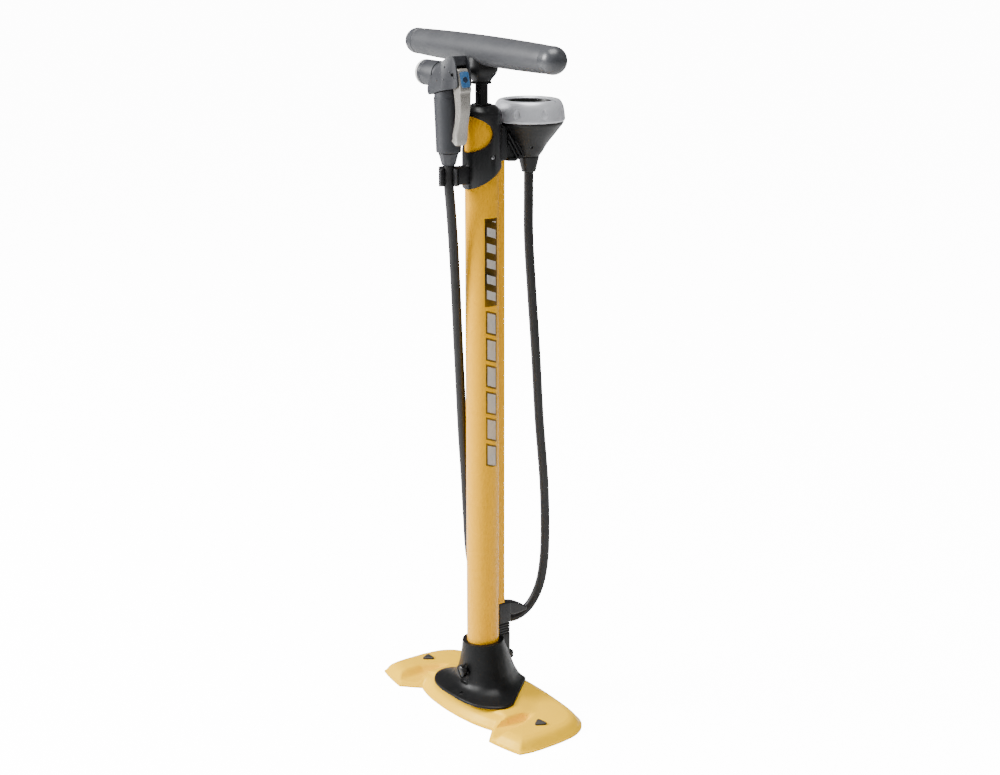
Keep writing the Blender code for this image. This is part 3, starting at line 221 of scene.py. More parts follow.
def soften(bm: bmesh.types.BMesh, width: float, segments: int = 3,
           angle: float = 30.0,
           keep: Callable[[bmesh.types.BMEdge], bool] | None = None) -> bmesh.types.BMesh:
    """Bevel the sharp edges.

    Args:
        bm: the shape.
        width: the bevel's width.
        segments: steps across the bevel.
        angle: an edge is sharp above this angle, in degrees.
        keep: a test that an edge has to pass as well.

    Returns:
        The same shape.
    """
    sharp = [e for e in bm.edges if len(e.link_faces) == 2
             and e.calc_face_angle(0.0) > math.radians(angle) and (keep is None or keep(e))]
    bmesh.ops.bevel(bm, geom=sharp, offset=width, offset_type="OFFSET", affect="EDGES",
                    segments=segments, profile=0.5, material=-1, clamp_overlap=True)
    return bm


def laid(bm: bmesh.types.BMesh, axis: Axis = Axis.Z, at: Point3 = (0, 0, 0),
         heading: float = 0.0) -> bmesh.types.BMesh:
    """Lay a shape made on +Z along an axis, turn it about Z and move it into place."""
    bm.transform(Matrix.Translation(at) @ Matrix.Rotation(heading, 4, "Z") @ axis.turn())
    return bm


def _guide(bm: bmesh.types.BMesh) -> bpy.types.Object:
    """Make a passing object for one Boolean step."""
    mesh = bpy.data.meshes.new("guide")
    bm.to_mesh(mesh)
    bm.free()
    made = bpy.data.objects.new("guide", mesh)
    bpy.context.collection.objects.link(made)
    return made


def combined(base: bmesh.types.BMesh, others: Iterable[bmesh.types.BMesh],
             operation: str = "DIFFERENCE") -> bmesh.types.BMesh:
    """Cut shapes out of a shape, or join or intersect them with it.

    Args:
        base: the shape that is changed.
        others: the shapes it is combined with, one after another.
        operation: DIFFERENCE, UNION or INTERSECT.

    Returns:
        The new shape.
    """
    body = _guide(base)
    guides = [_guide(other) for other in others]
    for guide in guides:
        step = body.modifiers.new("step", "BOOLEAN")
        step.operation = operation
        step.solver = "EXACT"
        step.object = guide
    final = body.evaluated_get(bpy.context.evaluated_depsgraph_get()).to_mesh()
    bm = bmesh.new()
    bm.from_mesh(final)
    for item in [body, *guides]:
        mesh = item.data
        bpy.data.objects.remove(item, do_unlink=True)
        bpy.data.meshes.remove(mesh)
    bmesh.ops.remove_doubles(bm, verts=bm.verts, dist=2e-6)
    return bm


def finished(name: str, bm: bmesh.types.BMesh, finish: "Finish", nodes: Sequence[str],
             sharp: float = 32.0) -> bpy.types.Object:
    """Turn a shape into a named piece that stands for CAD nodes and rides on their body.

    Args:
        name: the piece's name.
        bm: its shape, in place.
        finish: its finish.
        nodes: the CAD nodes that it stands for, or that it sits on if it is a detail.
        sharp: edges above this angle stay sharp, in degrees.

    Returns:
        The piece.
    """
    mesh = bpy.data.meshes.new(name)
    bm.to_mesh(mesh)
    bm.free()
    mesh.shade_smooth()
    mesh.set_sharp_from_angle(angle=math.radians(sharp))
    made = bpy.data.objects.new(name, mesh)
    bpy.context.collection.objects.link(made)
    made.data.materials.append(finish.material())
    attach(made, PLACEMENT.body[nodes[0]])
    log.info("%s: %d faces, %s", name, len(mesh.polygons), finish.name)
    return made


def merge(target: bmesh.types.BMesh, extra: bmesh.types.BMesh) -> None:
    """Add a shape to another one and free it.

    Args:
        target: the shape that grows, in place.
        extra: the shape to add, which is freed.
    """
    mesh = bpy.data.meshes.new("part")
    extra.to_mesh(mesh)
    target.from_mesh(mesh)
    extra.free()
    bpy.data.meshes.remove(mesh)


def stands_for(name: str, bm: bmesh.types.BMesh, finish: "Finish", node: str,
               sharp: float = 32.0) -> bpy.types.Object:
    """Make a piece that is shown in place of one CAD node."""
    made = finished(name, bm, finish, [node], sharp)
    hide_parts(node)
    return made


# ------------------------------------------------------------------ shared effects
class Effect:
    """Builds and places the shader node groups that several finishes share."""

    _made: dict[str, bpy.types.NodeTree] = {}

    @classmethod
    def _start(cls, name: str, inputs: Sequence[tuple[str, float]],
               outputs: Sequence[tuple[str, str]]) -> tuple[bpy.types.NodeTree, "Wiring"]:
        """Make an empty group with its sockets."""
        tree = bpy.data.node_groups.new(name, "ShaderNodeTree")
        for title, value in inputs:
            socket = tree.interface.new_socket(title, in_out="INPUT", socket_type="NodeSocketFloat")
            socket.default_value = value
        for title, kind in outputs:
            tree.interface.new_socket(title, in_out="OUTPUT", socket_type=kind)
        cls._made[name] = tree
        return tree, Wiring(tree)

    @classmethod
    def grain(cls) -> bpy.types.NodeTree:
        """Moulded grain: a fine height, a slow mottle and smear marks."""
        if "moulded_grain" in cls._made:
            return cls._made["moulded_grain"]
        tree, wires = cls._start(
            "moulded_grain", [("Scale", 900.0), ("Mottle Scale", 30.0)],
            [("Height", "NodeSocketFloat"), ("Mottle", "NodeSocketFloat"),
             ("Smear", "NodeSocketFloat")])
        come, go = wires.node("NodeGroupInput"), wires.node("NodeGroupOutput")
        where = wires.node("ShaderNodeTexCoord").outputs["Object"]
        fine = wires.node("ShaderNodeTexNoise", Detail=3.0, Roughness=0.6)
        cells = wires.node("ShaderNodeTexVoronoi")
        wires.join(where, fine.inputs["Vector"])
        wires.join(where, cells.inputs["Vector"])
        wires.join(come.outputs["Scale"], fine.inputs["Scale"])
        wires.join(come.outputs["Scale"], cells.inputs["Scale"])
        both = wires.math("ADD", fine.outputs["Fac"], cells.outputs["Distance"])
        wires.join(both, go.inputs["Height"])
        slow = wires.node("ShaderNodeTexNoise", Detail=4.0, Roughness=0.55)
        wires.join(where, slow.inputs["Vector"])
        wires.join(come.outputs["Mottle Scale"], slow.inputs["Scale"])
        wires.join(slow.outputs["Fac"], go.inputs["Mottle"])
        smear = wires.node("ShaderNodeTexNoise", Scale=14.0, Detail=6.0, Roughness=0.7,
                           Distortion=1.2)
        wires.join(where, smear.inputs["Vector"])
        wires.join(wires.span(smear.outputs["Fac"], 0.45, 0.70), go.inputs["Smear"])
        return tree

    @classmethod
    def wear(cls) -> bpy.types.NodeTree:
        """Rubbed edges: a mask along convex edges, broken up by noise."""
        if "edge_wear" in cls._made:
            return cls._made["edge_wear"]
        tree, wires = cls._start(
            "edge_wear", [("Radius", 0.0006), ("Breakup Scale", 220.0), ("Amount", 0.5)],
            [("Mask", "NodeSocketFloat")])
        come, go = wires.node("NodeGroupInput"), wires.node("NodeGroupOutput")
        rounded = wires.node("ShaderNodeBevel")
        rounded.samples = 3
        wires.join(come.outputs["Radius"], rounded.inputs["Radius"])
        flat = wires.node("ShaderNodeNewGeometry")
        meet = wires.node("ShaderNodeVectorMath")
        meet.operation = "DOT_PRODUCT"
        wires.join(rounded.outputs["Normal"], meet.inputs[0])
        wires.join(flat.outputs["Normal"], meet.inputs[1])
        edge = wires.span(meet.outputs["Value"], 0.995, 0.90)
        noise = wires.node("ShaderNodeTexNoise", Detail=5.0, Roughness=0.65)
        wires.join(wires.node("ShaderNodeTexCoord").outputs["Object"], noise.inputs["Vector"])
        wires.join(come.outputs["Breakup Scale"], noise.inputs["Scale"])
        broken = wires.math("MULTIPLY", edge, wires.span(noise.outputs["Fac"], 0.42, 0.62))
        wires.join(wires.math("MULTIPLY", broken, come.outputs["Amount"]), go.inputs["Mask"])
        return tree

    @classmethod
    def dust(cls) -> bpy.types.NodeTree:
        """Dust: a thin patchy mask on faces that look up."""
        if "settled_dust" in cls._made:
            return cls._made["settled_dust"]
        tree, wires = cls._start("settled_dust", [("Amount", 0.1), ("Scale", 90.0)],
                                 [("Mask", "NodeSocketFloat")])
        come, go = wires.node("NodeGroupInput"), wires.node("NodeGroupOutput")
        face = wires.node("ShaderNodeSeparateXYZ")
        wires.join(wires.node("ShaderNodeNewGeometry").outputs["Normal"], face.inputs[0])
        upward = wires.span(face.outputs["Z"], 0.1, 1.0)
        noise = wires.node("ShaderNodeTexNoise", Detail=8.0, Roughness=0.75)
        wires.join(wires.node("ShaderNodeTexCoord").outputs["Object"], noise.inputs["Vector"])
        wires.join(come.outputs["Scale"], noise.inputs["Scale"])
        patch = wires.math("MULTIPLY", upward, wires.span(noise.outputs["Fac"], 0.40, 0.75))
        wires.join(wires.math("MULTIPLY", patch, come.outputs["Amount"]), go.inputs["Mask"])
        return tree

    @classmethod
    def scratches(cls) -> bpy.types.NodeTree:
        """Hairline scratches and blast texture of a satin metal."""
        if "hairlines" in cls._made:
            return cls._made["hairlines"]
        tree, wires = cls._start("hairlines", [("Scale", 160.0), ("Stretch", 14.0)],
                                 [("Height", "NodeSocketFloat"), ("Shade", "NodeSocketFloat")])
        come, go = wires.node("NodeGroupInput"), wires.node("NodeGroupOutput")
        where = wires.node("ShaderNodeTexCoord").outputs["Object"]
        pulled = wires.node("ShaderNodeMapping")
        wires.join(where, pulled.inputs["Vector"])
        stretch = wires.node("ShaderNodeCombineXYZ", X=1.0, Y=1.0)
        wires.join(come.outputs["Stretch"], stretch.inputs["Z"])
        wires.join(stretch.outputs[0], pulled.inputs["Scale"])
        lines = wires.node("ShaderNodeTexNoise", Detail=6.0, Roughness=0.8)
        wires.join(pulled.outputs[0], lines.inputs["Vector"])
        wires.join(come.outputs["Scale"], lines.inputs["Scale"])
        blast = wires.node("ShaderNodeTexNoise", Scale=2600.0, Detail=2.0)
        wires.join(where, blast.inputs["Vector"])
        wires.join(wires.math("ADD", lines.outputs["Fac"], blast.outputs["Fac"]), go.inputs["Height"])
        wires.join(lines.outputs["Fac"], go.inputs["Shade"])
        return tree


class Wiring:
    """Short ways to add and join shader nodes in one tree."""

    def __init__(self, tree: bpy.types.NodeTree) -> None:
        """Keep the tree that nodes are added to."""
        self.tree = tree

    def node(self, kind: str, **values: float) -> bpy.types.Node:
        """Add a node and set its named inputs; an underscore stands for a space."""
        made = self.tree.nodes.new(kind)
        for title, value in values.items():
            made.inputs[title.replace("_", " ")].default_value = value
        return made

    def join(self, start: bpy.types.NodeSocket, end: bpy.types.NodeSocket) -> None:
        """Link two sockets."""
        self.tree.links.new(start, end)

    def math(self, operation: str, first: object, second: object = 0.0,
             third: object = 0.0) -> bpy.types.NodeSocket:
        """Do arithmetic on sockets or numbers.

        Args:
            operation: the Math node's operation.
            first: a socket or a number.
            second: a socket or a number.
            third: a socket or a number.

        Returns:
            The result's socket.
        """
        made = self.tree.nodes.new("ShaderNodeMath")
        made.operation = operation
        for slot, value in enumerate((first, second, third)):
            if isinstance(value, bpy.types.NodeSocket):
                self.join(value, made.inputs[slot])
            else:
                made.inputs[slot].default_value = value
        return made.outputs[0]

    def span(self, value: bpy.types.NodeSocket, low: float, high: float) -> bpy.types.NodeSocket:
        """Map low..high to 0..1, clamped."""
        made = self.node("ShaderNodeMapRange")
        made.clamp = True
        self.join(value, made.inputs["Value"])
        made.inputs["From Min"].default_value = low
        made.inputs["From Max"].default_value = high
        return made.outputs["Result"]

    def reach(self, value: bpy.types.NodeSocket, low: float, high: float) -> bpy.types.NodeSocket:
        """Map 0..1 to low..high."""
        made = self.node("ShaderNodeMapRange")
        made.clamp = False
        self.join(value, made.inputs["Value"])
        made.inputs["To Min"].default_value = low
        made.inputs["To Max"].default_value = high
        return made.outputs["Result"]

    def blend(self, share: bpy.types.NodeSocket, first: object,
              second: object) -> bpy.types.NodeSocket:
        """Mix two colours, each a socket or three numbers."""
        made = self.tree.nodes.new("ShaderNodeMix")
        made.data_type = "RGBA"
        self.join(share, made.inputs["Factor"])
        for slot, value in ((6, first), (7, second)):
            if isinstance(value, bpy.types.NodeSocket):
                self.join(value, made.inputs[slot])
            else:
                made.inputs[slot].default_value = (*value, 1.0)
        return made.outputs[2]

    def effect(self, tree: bpy.types.NodeTree, **values: float) -> bpy.types.Node:
        """Place a shared effect with its own values."""
        made = self.tree.nodes.new("ShaderNodeGroup")
        made.node_tree = tree
        for title, value in values.items():
            made.inputs[title.replace("_", " ")].default_value = value
        return made


# ------------------------------------------------------------------ finishes
@dataclass(frozen=True)
class Finish:
    """A moulded or painted finish with grain, mottle, rubbed edges and dust."""

    name: str
    colour: Point3
    roughness: float
    metallic: float = 0.0
    second: Point3 | None = None
    worn: Point3 | None = None
    grain_scale: float = 900.0
    grain_depth: float = 0.00003
    mottle_scale: float = 30.0
    mottle: float = 0.35
    rough_spread: float = 0.10
    wear: float = 0.35
    dust: float = 0.08
    coat: float = 0.0
    coat_roughness: float = 0.15
    specular: float = 0.5
    tint: Point3 = (1.0, 1.0, 1.0)
    streaks: float = 0.0

    def material(self) -> bpy.types.Material:
        """The Blender material, made once and shared."""
        known = bpy.data.materials.get(self.name)
        if known is not None:
            return known
        made = bpy.data.materials.new(self.name)
        made.use_nodes = True
        shader = made.node_tree.nodes["Principled BSDF"]
        shader.inputs["Metallic"].default_value = self.metallic
        shader.inputs["Coat Weight"].default_value = self.coat
        shader.inputs["Coat Roughness"].default_value = self.coat_roughness
        shader.inputs["Specular IOR Level"].default_value = self.specular
        shader.inputs["Specular Tint"].default_value = (*self.tint, 1.0)
        self.dress(Wiring(made.node_tree), shader)
        return made

    def base_colour(self, wires: Wiring) -> object:
        """The colour under mottle, wear and dust: three numbers, or a socket where it varies."""
        return self.colour

    def dress(self, wires: Wiring, shader: bpy.types.Node) -> None:
        """Join the effects to the shader.

        Args:
            wires: the material's wiring.
            shader: its Principled shader.
        """
        grain = wires.effect(Effect.grain(), Scale=self.grain_scale, Mottle_Scale=self.mottle_scale)
        second = self.second or tuple(c * 0.82 for c in self.colour)
        worn = self.worn or tuple(min(1.0, c * 1.5 + 0.03) for c in self.colour)
        share = wires.math("MULTIPLY", wires.span(grain.outputs["Mottle"], 0.3, 0.7), self.mottle)
        colour = wires.blend(share, self.base_colour(wires), second)
        edge = wires.effect(Effect.wear(), Amount=self.wear)
        colour = wires.blend(edge.outputs["Mask"], colour, worn)
        dust = wires.effect(Effect.dust(), Amount=self.dust)
        colour = wires.blend(dust.outputs["Mask"], colour, (0.42, 0.40, 0.37))
        wires.join(colour, shader.inputs["Base Color"])
        low = max(self.roughness - self.rough_spread, 0.03)
        rough = wires.reach(grain.outputs["Smear"], low, self.roughness + self.rough_spread)
        rough = wires.math("ADD", rough, wires.math("MULTIPLY", edge.outputs["Mask"], 0.12))
        rough = wires.math("ADD", rough, wires.math("MULTIPLY", dust.outputs["Mask"], 0.5))
        wires.join(rough, shader.inputs["Roughness"])
        height = wires.math("MULTIPLY", grain.outputs["Height"], 0.5)
        if self.streaks > 0.0:
            lines = wires.effect(Effect.scratches())
            height = wires.math("ADD", height,
                                wires.math("MULTIPLY", lines.outputs["Height"], self.streaks))
        bump = wires.node("ShaderNodeBump", Strength=0.6, Distance=self.grain_depth)
        wires.join(height, bump.inputs["Height"])
        wires.join(bump.outputs["Normal"], shader.inputs["Normal"])


@dataclass(frozen=True)
class ClearFinish(Finish):
    """Clear or milky plastic and glass."""

    transmission: float = 1.0
    ior: float = 1.49

    def dress(self, wires: Wiring, shader: bpy.types.Node) -> None:
        """Join faint smears to a see-through shader."""
        shader.inputs["Transmission Weight"].default_value = self.transmission
        shader.inputs["IOR"].default_value = self.ior
        grain = wires.effect(Effect.grain(), Scale=self.grain_scale, Mottle_Scale=self.mottle_scale)
        second = self.second or self.colour
        share = wires.math("MULTIPLY", grain.outputs["Mottle"], self.mottle)
        wires.join(wires.blend(share, self.colour, second), shader.inputs["Base Color"])
        wires.join(wires.reach(grain.outputs["Smear"], self.roughness,
                               self.roughness + self.rough_spread), shader.inputs["Roughness"])
        bump = wires.node("ShaderNodeBump", Strength=0.2, Distance=self.grain_depth)
        wires.join(grain.outputs["Height"], bump.inputs["Height"])
        wires.join(bump.outputs["Normal"], shader.inputs["Normal"])


@dataclass(frozen=True)
class PrintedPaint(Finish):
    """The barrel's paint with a plain upright graphic of slanted bars in a thin frame."""

    ink: Point3 = (0.003, 0.003, 0.003)
    fill: Point3 = (0.42, 0.42, 0.41)
    heading: float = -1.0
    radius: float = 0.016
    low: float = 0.253
    high: float = 0.496
    panel_low: float = 0.412
    half_width: float = 0.0073

    def base_colour(self, wires: Wiring) -> bpy.types.NodeSocket:
        """Paint, with ink where the graphic is."""
        place = wires.node("ShaderNodeSeparateXYZ")
        wires.join(wires.node("ShaderNodeTexCoord").outputs["Object"], place.inputs[0])
        x, y, z = place.outputs
        angle = wires.math("ARCTAN2", y, x)
        across = wires.math("MULTIPLY", wires.math("SUBTRACT", angle, math.radians(self.heading)),
                            self.radius)
        side = wires.math("ABSOLUTE", across)
        panel = self._within(wires, side, self.half_width, z, self.panel_low, self.high)
        slots = self._within(wires, side, self.half_width - 0.0022, z, self.panel_low + 0.003,
                             self.high - 0.003)
        lean = wires.math("ADD", z, wires.math("MULTIPLY", across, 0.35))
        bars = wires.math("MULTIPLY", slots, self._beat(wires, lean, 0.0150, 0.0, 0.55))
        blocks = self._within(wires, side, self.half_width - 0.0009, z, self.low, self.panel_low - 0.004)
        outlined = wires.math("MULTIPLY", blocks, self._beat(wires, lean, 0.0262, 0.0, 0.86))
        inner = self._within(wires, side, self.half_width - 0.0026, z, self.low, self.panel_low - 0.004)
        filled = wires.math("MULTIPLY", inner, self._beat(wires, lean, 0.0262, 0.075, 0.71))
        ink = wires.math("MAXIMUM", panel, outlined)
        coloured = wires.blend(ink, self.colour, self.ink)
        return wires.blend(wires.math("MAXIMUM", bars, filled), coloured, self.fill)

    def _beat(self, wires: Wiring, along: bpy.types.NodeSocket, pitch: float, start: float,
              share: float) -> bpy.types.NodeSocket:
        """1 over a share of each repeat along a line, else 0."""
        beat = wires.math("FRACT", wires.math("MULTIPLY", wires.math("SUBTRACT", along, self.low),
                                              1.0 / pitch))
        return wires.math("MULTIPLY", wires.math("GREATER_THAN", beat, start),
                          wires.math("LESS_THAN", beat, start + share))

    def _within(self, wires: Wiring, side: bpy.types.NodeSocket, half_width: float,
                up: bpy.types.NodeSocket, low: float, high: float) -> bpy.types.NodeSocket:
        """1 inside a rectangle on the barrel's face, else 0."""
        tall = wires.math("MULTIPLY", wires.math("GREATER_THAN", up, low),
                          wires.math("LESS_THAN", up, high))
        return wires.math("MULTIPLY", wires.math("LESS_THAN", side, half_width), tall)


class Palette:
    """The pump's finishes."""

    BARREL_PAINT = PrintedPaint("barrel_gold_paint", (0.82, 0.39, 0.000), 0.30, coat=0.0, specular=0.45,
                                tint=(1.0, 0.70, 0.12), second=(0.77, 0.36, 0.000), grain_scale=420.0,
                                grain_depth=0.00001, mottle=0.25, wear=0.20, dust=0.01,
                                worn=(0.80, 0.42, 0.01), rough_spread=0.05)
    PLATE_PAINT = Finish("foot_gold_plastic", (0.98, 0.56, 0.000), 0.40, coat=0.0, specular=0.35,
                         tint=(1.0, 0.75, 0.15), second=(0.95, 0.53, 0.000), grain_scale=1100.0,
                         grain_depth=0.00003, mottle=0.25, worn=(0.86, 0.50, 0.01), wear=0.25, dust=0.01)
    BLACK = Finish("cap_black_nylon", (0.006, 0.006, 0.0065), 0.40, specular=0.35, grain_scale=1500.0,
                   worn=(0.05, 0.05, 0.053), second=(0.013, 0.013, 0.014), mottle=0.5, wear=0.25, dust=0.02)
    BOOT = Finish("boot_black_nylon", (0.004, 0.004, 0.0042), 0.46, specular=0.15, grain_scale=1300.0,
                  worn=(0.06, 0.06, 0.065), second=(0.009, 0.009, 0.0095), mottle=0.5, dust=0.01)
    # Charcoal nylon of the gauge parts. On the handle hub its darkness is painted shade for the shadow under
    # the grip.
    CHARCOAL = Finish("gauge_charcoal_nylon", (0.006, 0.006, 0.0064), 0.42, specular=0.25, grain_scale=1500.0,
                      second=(0.009, 0.009, 0.0095), dust=0.01, mottle=0.4)
    GRIP = Finish("handle_grey_rubber", (0.038, 0.0395, 0.044), 0.58, grain_scale=1700.0,
                  grain_depth=0.00006, second=(0.033, 0.0345, 0.039), mottle=0.5, dust=0.05,
                  wear=0.2)
    END_CAP = Finish("handle_dark_cap", (0.045, 0.047, 0.052), 0.40, grain_scale=1500.0,
                     second=(0.044, 0.046, 0.051), dust=0.03, mottle=0.4)
    HEAD = Finish("head_slate_nylon", (0.021, 0.0225, 0.027), 0.50, grain_scale=1500.0,
                  grain_depth=0.00005, second=(0.018, 0.0195, 0.024), mottle=0.5, dust=0.04)
    HOSE = Finish("hose_black_rubber", (0.008, 0.0078, 0.0078), 0.50, specular=0.35, grain_scale=2200.0,
                  second=(0.012, 0.0115, 0.0115), dust=0.01, mottle=0.7, rough_spread=0.12, wear=0.0)
    RUBBER = Finish("foot_black_rubber", (0.014, 0.014, 0.014), 0.68, grain_scale=1400.0,
                    grain_depth=0.00008, second=(0.022, 0.021, 0.020), mottle=0.6)
    SATIN = Finish("bezel_satin_silver", (0.56, 0.57, 0.60), 0.44, metallic=0.35,
                   second=(0.54, 0.55, 0.58), grain_scale=2600.0, grain_depth=0.000006,
                   mottle=0.06, worn=(0.60, 0.61, 0.63), wear=0.03, dust=0.0, streaks=0.03)
    LEVER = Finish("lever_satin_alloy", (0.34, 0.325, 0.295), 0.36, metallic=0.55,
                   second=(0.29, 0.275, 0.245), grain_scale=2400.0, grain_depth=0.00002,
                   mottle=0.3, worn=(0.66, 0.64, 0.61), wear=0.25, dust=0.01, streaks=0.15)
    ROD = Finish("rod_black_steel", (0.006, 0.006, 0.0065), 0.22, metallic=0.1, coat=0.2,
                 grain_scale=600.0, grain_depth=0.00001, streaks=0.3, mottle=0.3, wear=0.3,
                 worn=(0.25, 0.25, 0.26), dust=0.02)
    STEEL = Finish("screw_bright_steel", (0.24, 0.24, 0.25), 0.24, metallic=1.0,
                   grain_scale=1800.0, grain_depth=0.00001, streaks=0.5, mottle=0.4,
                   worn=(0.75, 0.75, 0.76))
    BRASS = Finish("fitting_plain_brass", (0.62, 0.43, 0.17), 0.28, metallic=1.0,
                   grain_scale=1400.0, grain_depth=0.00001, streaks=0.5, mottle=0.6,
                   second=(0.42, 0.27, 0.10), worn=(0.80, 0.62, 0.32))
    MILKY = ClearFinish("nozzle_milky_plastic", (0.90, 0.90, 0.88), 0.30, transmission=0.35,
                        grain_scale=800.0, grain_depth=0.00003, second=(0.80, 0.80, 0.77),
                        mottle=0.4)
    LENS = ClearFinish("gauge_clear_lens", (0.97, 0.98, 0.98), 0.02, rough_spread=0.03,
                       grain_scale=500.0, grain_depth=0.000004)
    DIAL = Finish("dial_white_print", (0.74, 0.74, 0.72), 0.40, second=(0.66, 0.66, 0.63),
                  mottle=0.4, grain_scale=1200.0, grain_depth=0.00001, wear=0.0, dust=0.0)
    INK = Finish("dial_black_ink", (0.012, 0.012, 0.014), 0.45, grain_scale=1800.0,
                 grain_depth=0.00001, wear=0.0, dust=0.0, mottle=0.5)
    RED_INK = Finish("needle_red_paint", (0.50, 0.035, 0.020), 0.35, grain_scale=1800.0,
                     grain_depth=0.00001, wear=0.0, dust=0.0, mottle=0.4)
    BLUE = Finish("inlay_blue_enamel", (0.025, 0.095, 0.230), 0.30, coat=0.5,
                  second=(0.040, 0.130, 0.290), grain_scale=900.0, grain_depth=0.00001,
                  mottle=0.7, dust=0.02)
    DARK_BLUE = Finish("inlay_dark_enamel", (0.012, 0.022, 0.045), 0.30, coat=0.5,
                       grain_scale=900.0, grain_depth=0.00001, mottle=0.5, dust=0.02)


# ------------------------------------------------------------------ foot
def outline_reach(points: np.ndarray, outline: Sequence[Point2]) -> np.ndarray:
    """Distance of points from an outline's line.

    Args:
        points: an (n, 2) array.
        outline: the closed outline.

    Returns:
        The distance, positive inside the outline and negative outside it.
    """
    best = np.full(len(points), 1e9)
    inside = np.zeros(len(points), bool)
    corners = np.array(outline, float)
    for start, end in zip(corners, np.roll(corners, -1, axis=0)):
        run = end - start
        share = np.clip(((points - start) @ run) / max(run @ run, 1e-18), 0.0, 1.0)
        best = np.minimum(best, np.linalg.norm(points - (start + share[:, None] * run), axis=1))
        spans = (start[1] > points[:, 1]) != (end[1] > points[:, 1])
        rise = end[1] - start[1] if abs(end[1] - start[1]) > 1e-12 else 1e-12
        crossing = start[0] + (points[:, 1] - start[1]) / rise * run[0]
        inside ^= spans & (points[:, 0] < crossing)
    return np.where(inside, best, -best)


def ease(value: np.ndarray, low: float, high: float) -> np.ndarray:
    """A smooth step of an array from 0 at low to 1 at high."""
    share = np.clip((value - low) / (high - low), 0.0, 1.0)
    return share * share * (3.0 - 2.0 * share)


def both_sides(half: Sequence[Point2]) -> list[Point2]:
    """Close a half outline, which starts and ends at x = 0, with its mirror image."""
    return list(half) + [(-x, y) for x, y in reversed(half[1:-1])]


